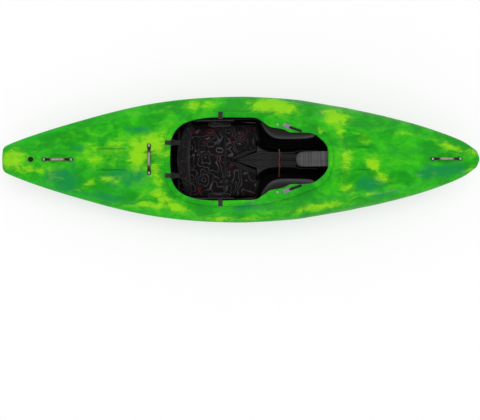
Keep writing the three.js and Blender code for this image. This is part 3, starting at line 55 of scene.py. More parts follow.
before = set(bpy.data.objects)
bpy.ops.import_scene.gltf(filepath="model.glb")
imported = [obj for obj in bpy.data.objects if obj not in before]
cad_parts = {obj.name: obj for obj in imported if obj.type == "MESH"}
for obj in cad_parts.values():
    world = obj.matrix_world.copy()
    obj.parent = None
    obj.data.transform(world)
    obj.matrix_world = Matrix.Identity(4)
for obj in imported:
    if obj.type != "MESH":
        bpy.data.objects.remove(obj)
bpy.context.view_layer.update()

MM = 0.001
LENGTH, BEAM, HEIGHT, WALL = 2440.0, 650.0, 347.0, 6.0
SIDES = (("left", 1), ("right", -1))
# Powers of the deck's and the bottom's curves from side to side, and the length that rounds each tip.
DECK_POWER, BOTTOM_ROOT, NOSE = 2.4, 1.3, 4.0

# Hull lines
# Share of the length from the stern, half-breadth share, keel, seam and deck heights as shares.
HULL_LINES = np.array([
    [0, 0.135, 0.591, 0.602, 0.617], [0.004, 0.19, 0.568, 0.597, 0.631], [0.009, 0.22, 0.549, 0.591, 0.638],
    [0.019, 0.254, 0.529, 0.585, 0.633], [0.04, 0.32, 0.483, 0.556, 0.612],
    [0.074, 0.414, 0.409, 0.519, 0.588], [0.124, 0.537, 0.32, 0.478, 0.565],
    [0.174, 0.647, 0.229, 0.461, 0.585], [0.224, 0.75, 0.154, 0.455, 0.611],
    [0.274, 0.837, 0.095, 0.461, 0.64], [0.325, 0.907, 0.054, 0.47, 0.658],
    [0.375, 0.955, 0.026, 0.476, 0.671], [0.425, 0.984, 0.008, 0.487, 0.712],
    [0.475, 0.998, -0.001, 0.504, 0.761], [0.5, 1, -0.003, 0.513, 0.784],
    [0.55, 0.986, -0.004, 0.536, 0.836], [0.575, 0.974, -0.003, 0.548, 0.865],
    [0.626, 0.94, 0.01, 0.562, 0.914], [0.651, 0.909, 0.023, 0.565, 0.934],
    [0.701, 0.845, 0.048, 0.568, 0.96], [0.726, 0.813, 0.066, 0.571, 0.96],
    [0.751, 0.772, 0.094, 0.571, 0.922], [0.776, 0.735, 0.124, 0.568, 0.888],
    [0.826, 0.646, 0.187, 0.565, 0.837], [0.877, 0.542, 0.278, 0.576, 0.807],
    [0.918, 0.437, 0.378, 0.608, 0.79], [0.952, 0.334, 0.483, 0.657, 0.795],
    [0.973, 0.251, 0.576, 0.7, 0.803], [0.985, 0.182, 0.634, 0.726, 0.801],
    [0.994, 0.125, 0.68, 0.741, 0.787], [0.998, 0.055, 0.718, 0.746, 0.764],
    [1, 0.012, 0.741, 0.746, 0.752],
])


def smooth_line(rows, column):
    """A line through rows that never overshoots them: a monotone cubic with harmonic-mean tangents."""
    rows = np.asarray(rows, float)
    xs, ys = rows[:, 0], rows[:, column]
    steps, slopes = np.diff(xs), np.diff(ys) / np.diff(xs)
    before, after = 2 * steps[1:] + steps[:-1], steps[1:] + 2 * steps[:-1]
    left, right = slopes[:-1], slopes[1:]
    same_way = left * right > 0
    safe_left, safe_right = np.where(same_way, left, 1), np.where(same_way, right, 1)
    middle = np.where(same_way, (before + after) / (before / safe_left + after / safe_right), 0)
    tangents = np.concatenate([slopes[:1], middle, slopes[-1:]])

    def line(x):
        at = np.clip(np.asarray(x, float), xs[0], xs[-1])
        k = np.clip(np.searchsorted(xs, at, side="right") - 1, 0, len(steps) - 1)
        u = (at - xs[k]) / steps[k]
        return (ys[k] * (1 + 2 * u) * (1 - u) ** 2 + ys[k + 1] * u * u * (3 - 2 * u)
                + steps[k] * (tangents[k] * u * (1 - u) ** 2 - tangents[k + 1] * u * u * (1 - u)))

    return line


half_share, keel_share, seam_share, deck_share = (smooth_line(HULL_LINES, c) for c in (1, 2, 3, 4))


def eased(value, low=0.0, high=1.0):
    """0 below low, 1 above high, and a soft S between them."""
    t = np.clip((np.asarray(value, float) - low) / (high - low), 0, 1)
    return t * t * (3 - 2 * t)


def quarter_round(value):
    """0 at 0 and 1 at 1, along a quarter of a circle."""
    return np.sqrt(1 - (1 - np.clip(value, 0, 1)) ** 2)


def unit(rows):
    """Each row divided by its length."""
    return rows / np.linalg.norm(rows, axis=1)[:, None]


def lengths(line):
    """Length along a line from its start to each of its points."""
    return np.concatenate([[0], np.cumsum(np.linalg.norm(np.diff(line, axis=0), axis=1))])


def station(x):
    return np.asarray(x, float) / LENGTH + 0.5


def half_breadth(x):
    return half_share(station(x)) * BEAM / 2


def keel(x):
    return keel_share(station(x)) * HEIGHT


def seam(x):
    return seam_share(station(x)) * HEIGHT


def deck_line(x):
    return deck_share(station(x)) * HEIGHT


def bottom_power(x):
    return 3.4 + 2.6 * np.sin(np.pi * station(x))


def deck_at(x, y):
    """Deck height: from the seam up to the deck line by the root of one less the share to the 2.4."""
    share = np.clip(np.abs(y) / half_breadth(x), 0, 1)
    return seam(x) + (deck_line(x) - seam(x)) * np.sqrt(1 - share ** DECK_POWER)


def bottom_at(x, y):
    """Bottom height: a flat superellipse whose power grows amidships."""
    share = np.clip(np.abs(y) / half_breadth(x), 0, 1)
    return seam(x) - (seam(x) - keel(x)) * (1 - share ** bottom_power(x)) ** (1 / BOTTOM_ROOT)


# Cockpit rim
RIM = {"rear": -384.0, "front": 469.0, "half": 239.0, "plate": 6.0, "edge": 3.0, "flange": 21.0,
       "wall": 7.0, "skirt": 25.0, "gap": 6.0, "lip": 5.0, "hook": 14.0}
# Outer edge (x, y) and opening edge (x, y), port side, as shares of the rim's length and half width.
RIM_OUTLINE = np.array([
    [0, 0, 0.033, 0], [0.004, 0.299, 0.036, 0.256], [0.02, 0.545, 0.044, 0.459],
    [0.05, 0.716, 0.068, 0.619], [0.098, 0.843, 0.107, 0.743], [0.164, 0.933, 0.167, 0.828],
    [0.248, 0.985, 0.248, 0.876], [0.344, 1, 0.344, 0.885], [0.451, 0.997, 0.451, 0.876],
    [0.534, 0.98, 0.546, 0.859], [0.605, 0.948, 0.59, 0.765], [0.658, 0.907, 0.629, 0.673],
    [0.705, 0.862, 0.67, 0.643], [0.746, 0.817, 0.711, 0.61], [0.787, 0.768, 0.746, 0.551],
    [0.84, 0.7, 0.822, 0.542], [0.887, 0.64, 0.881, 0.516], [0.928, 0.556, 0.919, 0.426],
    [0.966, 0.43, 0.952, 0.31], [0.991, 0.231, 0.971, 0.168], [1, 0, 0.975, 0],
])
# Share of the rim's length from the rear, and its height as a share of the kayak's.
RIM_RISE = np.array([
    [0, 0.683], [0.14, 0.697], [0.237, 0.718], [0.33, 0.748], [0.428, 0.79], [0.523, 0.833], [0.619, 0.882],
    [0.714, 0.919], [0.81, 0.95], [0.905, 0.98], [1, 1],
])
# Rows of the outline between which the lip is deepened to a thigh hook.
HOOK_ROWS = (9.5, 15.5)
rim_rise = smooth_line(RIM_RISE, 1)


def rim_top(x):
    return rim_rise((np.asarray(x, float) - RIM["rear"]) / (RIM["front"] - RIM["rear"])) * HEIGHT


def centripetal(points, shares, closed):
    """Points along a centripetal Catmull-Rom curve at shares of its point count, as whole arrays."""
    points = np.asarray(points, float)
    count = len(points)
    at = np.asarray(shares, float) * (count if closed else count - 1)
    k = np.floor(at).astype(int)
    if not closed:
        k = np.clip(k, 0, count - 2)
    u = (at - k)[:, None]
    if closed:
        p0, p1, p2, p3 = (points[(k + step) % count] for step in (-1, 0, 1, 2))
    else:
        whole = np.vstack([2 * points[0] - points[1], points, 2 * points[-1] - points[-2]])
        p0, p1, p2, p3 = (whole[k + step] for step in (0, 1, 2, 3))
    d0, d1, d2 = (np.maximum(np.linalg.norm(b - a, axis=1), 1e-6)[:, None] ** 0.5
                  for a, b in ((p0, p1), (p1, p2), (p2, p3)))
    t1 = ((p1 - p0) / d0 - (p2 - p0) / (d0 + d1) + (p2 - p1) / d1) * d1
    t2 = ((p2 - p1) / d1 - (p3 - p1) / (d1 + d2) + (p3 - p2) / d2) * d1
    return (p1 + t1 * u + (-3 * p1 + 3 * p2 - 2 * t1 - t2) * u ** 2 + (2 * p1 - 2 * p2 + t1 + t2) * u ** 3)


def rim_curve(columns, shares):
    port = np.column_stack([RIM["rear"] + RIM_OUTLINE[:, columns[0]] * (RIM["front"] - RIM["rear"]),
                            RIM_OUTLINE[:, columns[1]] * RIM["half"]])
    starboard = port[1:-1][::-1] * [1, -1]
    return centripetal(np.vstack([port, starboard]), shares, True)


RIM_SHARES = np.linspace(0, 1, 400, endpoint=False)
rim_outer = rim_curve((0, 1), RIM_SHARES)
rim_inner = rim_curve((2, 3), RIM_SHARES)
rim_inwards = unit(rim_inner - rim_outer)
rim_width = np.linalg.norm(rim_inner - rim_outer, axis=1)
hole_loop = rim_outer + rim_inwards * (RIM["flange"] + RIM["wall"] / 2)
hole_port = hole_loop[hole_loop[:, 1] >= -1e-6]
hole_port = hole_port[np.argsort(hole_port[:, 0])]
HOLE = (hole_port[0, 0], hole_port[-1, 0])


def hole_half(x):
    """Half width of the cockpit hole in the deck at x, nothing outside it."""
    return np.interp(x, hole_port[:, 0], hole_port[:, 1], left=0, right=0)


# Mesh tools
def grid_faces(rows, columns, wrap_rows=False, wrap_columns=False, start=0):
    """Quads over a grid of rows by columns points."""
    r = np.arange(rows if wrap_rows else rows - 1)
    c = np.arange(columns if wrap_columns else columns - 1)
    a, b = np.meshgrid(r, c, indexing="ij")
    a2, b2 = (a + 1) % rows, (b + 1) % columns
    quads = np.stack([a * columns + b, a * columns + b2, a2 * columns + b2, a2 * columns + b], -1)
    return start + quads.reshape(-1, 4)


def corner_cut(line, times, closed=False):
    """Rounds a line: each span keeps the points a quarter and three quarters along it. Open ends stay."""
    for _ in range(times):
        ahead = np.roll(line, -1, axis=-2) if closed else line[..., 1:, :]
        here = line if closed else line[..., :-1, :]
        pairs = np.stack([0.75 * here + 0.25 * ahead, 0.25 * here + 0.75 * ahead], -2)
        fresh = pairs.reshape(*line.shape[:-2], -1, line.shape[-1])
        line = fresh if closed else np.concatenate([line[..., :1, :], fresh, line[..., -1:, :]], -2)
    return line


def tube(points, closed_run=False):
    """Faces over points[rows, columns]: wrapped across, capped by fans at both ends unless the run closes."""
    rows, columns = points.shape[:2]
    flat = points.reshape(-1, 3)
    faces = grid_faces(rows, columns, closed_run, True).tolist()
    if not closed_run:
        for row, turn in ((0, 1), (rows - 1, -1)):
            centre = len(flat)
            flat = np.vstack([flat, points[row].mean(0)])
            ring = row * columns + np.arange(columns)
            fan = np.column_stack([ring, np.full(columns, centre), np.roll(ring, -1)])
            faces += (fan if turn > 0 else fan[:, ::-1]).tolist()
    return flat, faces


def piece(name, points, faces, finish, body="hull", nodes=(), angle=40, weld=0.01, closed=True, marks=None):
    """A named mesh from points in millimetres: welded, turned outwards, smooth but for edges past angle.

    marks holds a value for each point under each name, which the finishes read.
    """
    mesh = bpy.data.meshes.new(name)
    mesh.from_pydata(np.asarray(points, float) * MM, [], faces if isinstance(faces, list) else faces.tolist())
    for label, values in (marks or {}).items():
        mesh.attributes.new(label, "FLOAT", "POINT").data.foreach_set("value", np.asarray(values, np.float32))
    made = bmesh.new()
    made.from_mesh(mesh)
    bmesh.ops.remove_doubles(made, verts=made.verts, dist=weld * MM)
    bmesh.ops.dissolve_degenerate(made, edges=made.edges, dist=1e-7)
    if closed:
        bmesh.ops.recalc_face_normals(made, faces=made.faces)
    made.to_mesh(mesh)
    made.free()
    return dressed(name, mesh, finish, body, nodes, angle)


def dressed(name, mesh, finish, body, nodes, angle):
    """Links a mesh as a piece that rides on a body, stands for nodes and has a finish with its slot."""
    mesh.shade_smooth()
    mesh.set_sharp_from_angle(angle=math.radians(angle))
    made = bpy.data.objects.new(name, mesh)
    bpy.context.scene.collection.objects.link(made)
    if body:
        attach(made, body)
    if nodes:
        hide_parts(*nodes)
    if finish:
        mesh.materials.clear()
        mesh.materials.append(bpy.data.materials[f"{finish}_finish"])
    return made


def joined(parts):
    """Several (points, faces) as one."""
    points, faces, start = [], [], 0
    for some, quads in parts:
        points.append(some)
        rows = quads if isinstance(quads, list) else quads.tolist()
        faces += [[start + i for i in face] for face in rows]
        start += len(some)
    return np.vstack(points), faces


def softened(name, node, finish, width, segments=2, body="hull"):
    """A node's own form as a welded copy, its flat faces whole again and its edges rounded by a bevel."""
    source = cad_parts[node]
    made = bmesh.new()
    made.from_mesh(source.data)
    bmesh.ops.remove_doubles(made, verts=made.verts, dist=2e-5)
    bmesh.ops.dissolve_limit(made, angle_limit=math.radians(2), verts=made.verts, edges=made.edges)
    mesh = bpy.data.meshes.new(name)
    made.to_mesh(mesh)
    made.free()
    done = dressed(name, mesh, finish, body, (node,), 35)
    bevel = done.modifiers.new("edges", "BEVEL")
    bevel.width, bevel.segments, bevel.limit_method = width * MM, segments, "ANGLE"
    bevel.angle_limit, bevel.harden_normals = math.radians(30), True
    bevel.use_clamp_overlap = True
    return done


# Node tools
def plug(node, inputs):
    """Sets a node's inputs by name or number, each to a value or to a wire."""
    for key, value in inputs.items():
        if isinstance(value, Wire):
            node.id_data.links.new(value.socket, node.inputs[key])
        else:
            node.inputs[key].default_value = value


def put(tree, kind, inputs=None, key=0, **settings):
    """Adds a node with its settings and inputs, and returns its output under key."""
    made = tree.nodes.new(kind)
    for name, value in settings.items():
        setattr(made, name, value)
    plug(made, inputs or {})
    return Wire(made, key)


class Wire:
    """An output of a node. Sums, products and the methods each add a node to the same tree."""

    def __init__(self, node, key=0):
        self.node, self.socket, self.tree = node, node.outputs[key], node.id_data

    def math(self, operation, *values):
        return put(self.tree, "ShaderNodeMath", dict(enumerate((self, *values))), operation=operation)

    def __add__(self, other):
        return self.math("ADD", other)

    def __mul__(self, other):
        return self.math("MULTIPLY", other)

    def centred(self, width):
        """A value from 0 to 1 spread over a width about nought."""
        return self.math("MULTIPLY_ADD", width, -width / 2)

    def step(self, low, high, to_low=0.0, to_high=1.0):
        """From to_low to to_high in a soft S, while this goes from low to high."""
        return put(self.tree, "ShaderNodeMapRange", {0: self, 1: low, 2: high, 3: to_low, 4: to_high},
                   interpolation_type="SMOOTHSTEP")

    def noise(self, scale, detail=3.0, roughness=0.5, key="Fac"):
        return put(self.tree, "ShaderNodeTexNoise",
                   {"Vector": self, "Scale": scale, "Detail": detail, "Roughness": roughness}, key)

    def placed(self, scale=(1, 1, 1), location=(0, 0, 0), rotation=(0, 0, 0)):
        return put(self.tree, "ShaderNodeMapping",
                   {"Vector": self, "Location": location, "Rotation": rotation, "Scale": scale})

    def diagonal(self, turn, scale, distortion=0.0):
        """Waves across a direction that is turned by an angle."""
        place = self.placed(rotation=(0, 0, turn))
        return put(self.tree, "ShaderNodeTexWave",
                   {"Vector": place, "Scale": scale, "Distortion": distortion}, "Fac")

    def vector(self, operation, inputs, key=0):
        return put(self.tree, "ShaderNodeVectorMath", {0: self, **inputs}, key, operation=operation)

    def warped(self, scale, detail, roughness, reach):
        """This place pulled aside by a coloured noise, half of reach at most along each axis."""
        pull = self.noise(scale, detail, roughness, "Color").vector("SUBTRACT", {1: (0.5, 0.5, 0.5)})
        return self.vector("ADD", {1: pull.vector("SCALE", {"Scale": reach})})

    def parts(self):
        """Its x, y and z."""
        node = put(self.tree, "ShaderNodeSeparateXYZ", {0: self}).node
        return [Wire(node, axis) for axis in range(3)]

    def grey(self):
        return put(self.tree, "ShaderNodeCombineColor", {0: self, 1: self, 2: self})

    def bump(self, distance, strength):
        return put(self.tree, "ShaderNodeBump", {"Height": self, "Distance": distance, "Strength": strength})


def blend(share, first, second, mode="MIX"):
    """A colour between two by a share, or the second laid over the first in another mode."""
    tree = next(value.tree for value in (share, first, second) if isinstance(value, Wire))
    return put(tree, "ShaderNodeMix", {0: share, 6: first, 7: second}, 2, data_type="RGBA", blend_type=mode)


def new_group(name, inputs, outputs):
    """A node group: wires from its inputs, each given as a kind or a plain value, and its output node."""
    tree = bpy.data.node_groups.new(name, "ShaderNodeTree")
    for label, value in inputs.items():
        kind = value if isinstance(value, str) else "Float"
        socket = tree.interface.new_socket(name=label, in_out="INPUT", socket_type=f"NodeSocket{kind}")
        if kind == "Float":
            socket.default_value = value
    for label, kind in outputs.items():
        tree.interface.new_socket(name=label, in_out="OUTPUT", socket_type=f"NodeSocket{kind}")
    start, end = tree.nodes.new("NodeGroupInput"), tree.nodes.new("NodeGroupOutput")
    return [Wire(start, label) for label in inputs], end


def grouped(place, name, inputs):
    """A shared effect at a place, with its other inputs, as its outputs by name."""
    node = place.tree.nodes.new("ShaderNodeGroup")
    node.node_tree = bpy.data.node_groups[name]
    plug(node, {"Vector": place, **inputs})
    return {socket.name: Wire(node, socket.name) for socket in node.outputs}


def new_material(finish, place="object", **values):
    """A finish's material: its shader with plain values on its own sockets, and the place that it reads."""
    made = bpy.data.materials.new(f"{finish}_finish")
    made.use_nodes = True
    tree = made.node_tree
    shader = tree.nodes["Principled BSDF"]
    for key, value in values.items():
        shader.inputs[key.replace("_", " ").title().replace("Ior", "IOR")].default_value = value
    if place == "run":
        return shader, put(tree, "ShaderNodeUVMap", uv_map="run")
    return shader, put(tree, "ShaderNodeTexCoord", key="Object")


def rgb(red, green, blue):
    """A display colour from 0 to 255 as the linear colour a shader wants."""
    c = np.array([red, green, blue]) / 255
    linear = np.where(c <= 0.04045, c / 12.92, ((c + 0.055) / 1.055) ** 2.4)
    return (*linear.tolist(), 1.0)


# Shared effects
def build_effects():
    """The node groups that several finishes share."""
    height_and_tone = {"Height": "Float", "Tone": "Float"}
    # Orange-peel skin of moulded plastic: a fine noise on a coarser one.
    (place, scale), out = new_group("moulded_skin", {"Vector": "Vector", "Scale": 900.0}, height_and_tone)
    fine = place.noise(scale, 2, 0.6)
    broad = place.noise(scale.math("DIVIDE", 14), 2)
    plug(out, {"Height": fine + broad * 0.8, "Tone": broad.step(0.3, 0.7, 0.94, 1.05)})

    # Fine scuffs: long thin noise, kept only in its narrow peaks and only in patches.
    (place, scale), out = new_group("scuffs", {"Vector": "Vector", "Scale": 40.0}, {"Mask": "Float"})
    along = place.placed((1, 16, 16)).noise(scale, 2, 0.6)
    patch = place.noise(9.0, 2)
    plug(out, {"Mask": along.step(0.64, 0.72) * patch.step(0.5, 0.66)})

    # Wear on outside corners, and the mask of the hull's painted edge highlight: how far the rounded normal
    # leans from the true one.
    (place, radius), out = new_group("edge_wear_and_highlight", {"Vector": "Vector", "Radius": 0.0015}, {"Mask": "Float"})
    rounded = put(place.tree, "ShaderNodeBevel", {"Radius": radius}, samples=4)
    true = put(place.tree, "ShaderNodeNewGeometry", key="Normal")
    lean = rounded.vector("DOT_PRODUCT", {1: true}, "Value")
    broken = place.noise(160.0, 3).step(0.35, 0.65)
    plug(out, {"Mask": lean.step(0.985, 0.9) * broken})

    # Plain weave: two crossed waves, each over and under the other; threads per metre.
    (place, threads), out = new_group("weave", {"Vector": "Vector", "Threads": 700.0}, height_and_tone)
    x, y, _ = place.parts()
    turn = threads * math.pi
    warp, weft = (x * turn).math("SINE"), (y * turn).math("SINE")
    cell = warp * weft
    height = warp.math("ABSOLUTE") * 0.5 + (weft.math("ABSOLUTE") * 0.5 + cell * 0.25)
    plug(out, {"Height": height, "Tone": height.step(0.2, 1.2, 0.7, 1.15)})

    # Swirled resin: patches with ragged, feathered edges, on a ground that is streaked along the hull.
    (place, light_share, deep_share, ground, dark, light, deep), out = new_group(
        "resin_swirl", {"Vector": "Vector", "Light Share": 0.0, "Deep Share": 0.0, "Ground": "Color",
                        "Dark": "Color", "Light": "Color", "Deep": "Color"}, {"Color": "Color"})
    base = place.placed((1.0, 1.2, 0.4))
    spot = base.warped(6.0, 3, 0.6, 0.16)
    streak = spot.placed((4.5, 20, 6)).noise(2.2, 6, 0.68)
    broad = spot.placed(location=(3.1, 1.7, 0)).noise(8.0, 4, 0.6)
    other = spot.placed(location=(7.7, 4.2, 0)).noise(7.0, 4, 0.6)
    grain = base.noise(190.0, 2, 0.7)
    rag = streak.centred(1.5) + grain.centred(0.7)

    def patches(share, drift, low, high, most):
        return (share + rag + drift.centred(2.6)).step(low, high, 0, most)

    veil = patches(light_share, broad, 0.15, 0.9, 0.3)
    light_mask = patches(light_share, broad, 0.55, 1.05, 1.0)
    deep_mask = patches(deep_share, other, 0.22, 0.95, 0.95)
    mixed = blend((broad + streak.centred(0.5)).step(0.32, 0.66), dark, ground)
    for mask, colour in ((deep_mask, deep), (veil, light), (light_mask, light)):
        mixed = blend(mask, mixed, colour)
    plug(out, {"Color": mixed})


# Finishes
def hull_plastic(colours):
    """Deck and rim are swirled; from the seam down the green is plain, darker towards the bottom."""
    shader, spot = new_material("hull_plastic", roughness=0.36, specular_ior_level=0.2)
    mark = lambda label: put(spot.tree, "ShaderNodeAttribute", key="Fac", attribute_name=label)
    swirl = grouped(spot, "resin_swirl", {
        "Light Share": mark("light_share"), "Deep Share": mark("deep_share"), "Ground": tuple(colours.ground),
        "Dark": tuple(colours.dark), "Light": tuple(colours.light), "Deep": tuple(colours.deep)})
    skin = grouped(spot, "moulded_skin", {"Scale": 700.0})
    scuff = grouped(spot, "scuffs", {"Scale": 30.0})["Mask"]
    edge = grouped(spot, "edge_wear_and_highlight", {"Radius": 0.003})["Mask"]
    above = mark("above_seam")
    ragged = above + spot.noise(18.0, 3).centred(0.02)
    drift = spot.placed((0.6, 1, 2)).noise(5.0, 3)
    plain = blend(drift.step(0.3, 0.75, 0, 0.5), tuple(colours.side), tuple(colours.dark))
    # Painted shade: below the seam the plain green turns to the low green towards the bottom.
    plain = blend(above.step(-0.16, -0.06, 0.75, 0), plain, tuple(colours.low))
    colour = blend(ragged.step(0.0, 0.022), plain, swirl["Color"])
    colour = blend(0.6, colour, skin["Tone"].grey(), "MULTIPLY")
    colour = blend(scuff * 0.12, colour, rgb(150, 225, 140))
    # Painted highlight: the hull's outside edges are painted pale green, most on the rim.
    wear_and_highlight = edge * mark("rim").math("MULTIPLY_ADD", 0.5, 0.3)
    colour = blend(wear_and_highlight, colour, rgb(205, 245, 175))
    # Painted shade: the grooves are darkened, and the hull's inner skin is painted near black for the shade
    # inside it.
    colour = blend(mark("groove_shade") * 0.75, colour, rgb(6, 70, 14))
    colour = blend(mark("painted_inner_shade"), colour, tuple(colours.painted_inner_shade))
    rough = drift.step(0.2, 0.8, 0.3, 0.42) + scuff * 0.2
    rough = rough + mark("painted_inner_shade") * 0.45
    plug(shader, {"Base Color": colour, "Roughness": rough, "Normal": skin["Height"].bump(0.00012, 0.35)})


def plastic(finish, colour, roughness, level, grain, wear):
    """Moulded plastic or rubber: a fine skin, and paler where edges and scuffs are worn."""
    shader, spot = new_material(finish, roughness=roughness, specular_ior_level=level)
    skin = grouped(spot, "moulded_skin", {"Scale": 1400.0})
    edge = grouped(spot, "edge_wear_and_highlight", {"Radius": 0.0012})["Mask"]
    scuff = grouped(spot, "scuffs", {"Scale": 60.0})["Mask"]
    # The pale grey of worn edges and scuffs; no highlight is painted here.
    wear_and_highlight = rgb(70, 70, 72)
    tint = blend(edge * wear, rgb(*colour), wear_and_highlight)
    tint = blend(scuff * (wear * 0.6), tint, wear_and_highlight)
    rough = skin["Tone"].math("MULTIPLY_ADD", 0.25, roughness - 0.25) + scuff * 0.2
    plug(shader, {"Base Color": tint, "Roughness": rough, "Normal": skin["Height"].bump(grain * MM, 0.5)})
    return shader, spot, tint


def grip(finish, node, along):
    """A handle's plastic, rubbed pale along the top of its arch."""
    low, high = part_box(node)
    shader, spot, tint = plastic(finish, (14, 14, 15), 0.35, 0.5, 0.1, 0.5)
    middle, half = (low[along] + high[along]) / 2, (high[along] - low[along]) / 2
    off = spot.parts()[along].math("SUBTRACT", middle).math("DIVIDE", half).math("ABSOLUTE")
    facing = put(spot.tree, "ShaderNodeNewGeometry", key="Normal").parts()[2]
    # Painted highlight: pale in the middle of the arch where it faces up, broken by a noise.
    arch_highlight = off.step(0.52, 0.3) * facing.step(0.8, 0.97)
    arch_highlight = arch_highlight * spot.noise(70.0, 3).step(0.25, 0.6, 0.55, 1.0)
    plug(shader, {"Base Color": blend(arch_highlight, tint, rgb(158, 150, 138))})


def metal(finish, colour, roughness, grain):
    """Brushed metal: a noise that is fine across the hull and long along it, in tint, gloss and height."""
    shader, spot = new_material(finish, metallic=1.0, roughness=roughness)
    brushed = spot.placed((1, 30, 1)).noise(160.0, 2, 0.6)
    scuff = grouped(spot, "scuffs", {"Scale": 120.0})["Mask"]
    tint = blend(brushed.step(0.3, 0.7), rgb(*colour), rgb(*[int(c * 0.86) for c in colour]))
    rough = brushed.step(0.2, 0.8, roughness - 0.05, roughness + 0.1) + scuff * 0.15
    plug(shader, {"Base Color": tint, "Roughness": rough, "Normal": brushed.bump(grain * MM, 0.4)})


def printed(finish, ground, line, accent, amount):
    """Printed fabric: contour lines of two warped noises, grey and a darker red, on woven black."""
    size = 15.0
    shader, spot = new_material(finish, roughness=0.88, sheen_weight=0.08, sheen_roughness=0.5,
                                specular_ior_level=0.2)
    bent = spot.placed((1, 1, 0.35)).warped(size * 0.8, 2, 0.5, 0.9 / size)

    def contours(place, scale, bands, width):
        fold = (place.noise(scale, 0.6, 0.4) * bands).math("PINGPONG", 0.5)
        return fold.step(width, width * 0.4)

    grey = contours(bent, size, 9.0, 0.12)
    keep = spot.placed(location=(2, 5, 0)).noise(size * 1.1, 1).step(0.36, 0.5, 0.3, 1)
    red = contours(bent.placed(location=(4.3, 1.9, 0)), size * 0.9, 7.0, 0.1)
    where = spot.placed(location=(8, 3, 1)).noise(size * 0.75, 1).step(0.52, 0.6)
    weave = grouped(spot, "weave", {"Threads": 620.0})
    fuzz = spot.noise(900.0, 2)
    colour = blend(grey * keep * amount, rgb(*ground), rgb(*line))
    colour = blend(red * where * amount, colour, rgb(*accent))
    tone = weave["Tone"] * fuzz.step(0.2, 0.8, 0.85, 1.1)
    colour = blend(0.7, colour, tone.grey(), "MULTIPLY")
    height = weave["Height"] + fuzz * 0.5
    plug(shader, {"Base Color": colour, "Normal": height.bump(0.0003, 0.6)})


def webbing_cloth():
    """Diagonal twill in the strip's own length and width."""
    shader, run = new_material("webbing", "run", roughness=0.82, sheen_weight=0.2, specular_ior_level=0.3)
    twill = run.diagonal(0.9, 240.0, 0.6)
    rows = put(run.tree, "ShaderNodeTexWave", {"Vector": run, "Scale": 180.0}, "Fac")
    height = twill * 0.7 + rows * 0.3
    colour = blend(height, rgb(22, 22, 24), rgb(52, 52, 56))
    plug(shader, {"Base Color": colour, "Normal": height.bump(0.0003, 0.7)})


def grey_foam():
    """Closed cells, and knife ribs down the foam's height."""
    shader, spot = new_material("grey_foam", roughness=0.92, specular_ior_level=0.2)
    cells = put(spot.tree, "ShaderNodeTexVoronoi", {"Vector": spot, "Scale": 420.0}, "Distance")
    ribs = spot.placed((60, 1.2, 1.2)).noise(2.4, 3, 0.6)
    cross = spot.placed((1.2, 30, 1.2)).noise(3.0, 2, 0.5)
    colour = blend(ribs.step(0.35, 0.7), rgb(70, 70, 72), rgb(96, 96, 98))
    colour = blend(cross.step(0.4, 0.7, 0, 0.5), colour, rgb(62, 62, 64))
    height = cells * 0.6 + ribs * 0.8
    plug(shader, {"Base Color": colour, "Normal": height.bump(0.0006, 0.6)})


def red_cord():
    """Braid: crossed diagonal waves along the cord's own length, with pale flecks."""
    shader, run = new_material("red_cord", "run", roughness=0.75, sheen_weight=0.2)
    braid = run.diagonal(0.7, 260.0) * run.diagonal(-0.7, 260.0)
    fleck = run.noise(150.0, 1).step(0.62, 0.68)
    colour = blend(braid.step(0.1, 0.6), rgb(92, 12, 16), rgb(186, 34, 36))
    colour = blend(fleck * 0.4, colour, rgb(190, 150, 140))
    plug(shader, {"Base Color": colour, "Normal": braid.bump(0.0004, 0.8)})


def build_finishes(colours):
    """The shared effects, then every finish on the kayak."""
    build_effects()
    hull_plastic(colours)
    plastic("seat_plastic", (12, 12, 13), 0.2, 0.55, 0.05, 0.35)
    plastic("black_plastic", (20, 20, 21), 0.42, 0.4, 0.12, 0.5)
    plastic("brace_plastic", (17, 15, 19), 0.33, 0.45, 0.1, 0.4)
    plastic("seal_rubber", (16, 16, 16), 0.7, 0.3, 0.1, 0.2)
    grip("stern_grip", "stern_grab_handle", 0)
    grip("bow_grip", "bow_grab_handle", 0)
    grip("bar_grip", "rear_security_bar", 1)
    metal("bolt_steel", (226, 228, 232), 0.3, 0.03)
    metal("rail_aluminium", (176, 178, 182), 0.38, 0.05)
    printed("printed_fabric", (19, 16, 18), (80, 78, 82), (96, 22, 28), 0.95)
    printed("backband_fabric", (9, 8, 9), (52, 50, 54), (60, 16, 20), 0.6)
    webbing_cloth()
    grey_foam()
    red_cord()


# Stage
def seen_rays(tree):
    """A share that is one for camera rays, and one for these and for rays from gloss or through glass."""
    camera = put(tree, "ShaderNodeLightPath", key="Is Camera Ray")
    glossy, through = (Wire(camera.node, key) for key in ("Is Glossy Ray", "Is Transmission Ray"))
    return camera, camera.math("MAXIMUM", glossy.math("MAXIMUM", through))


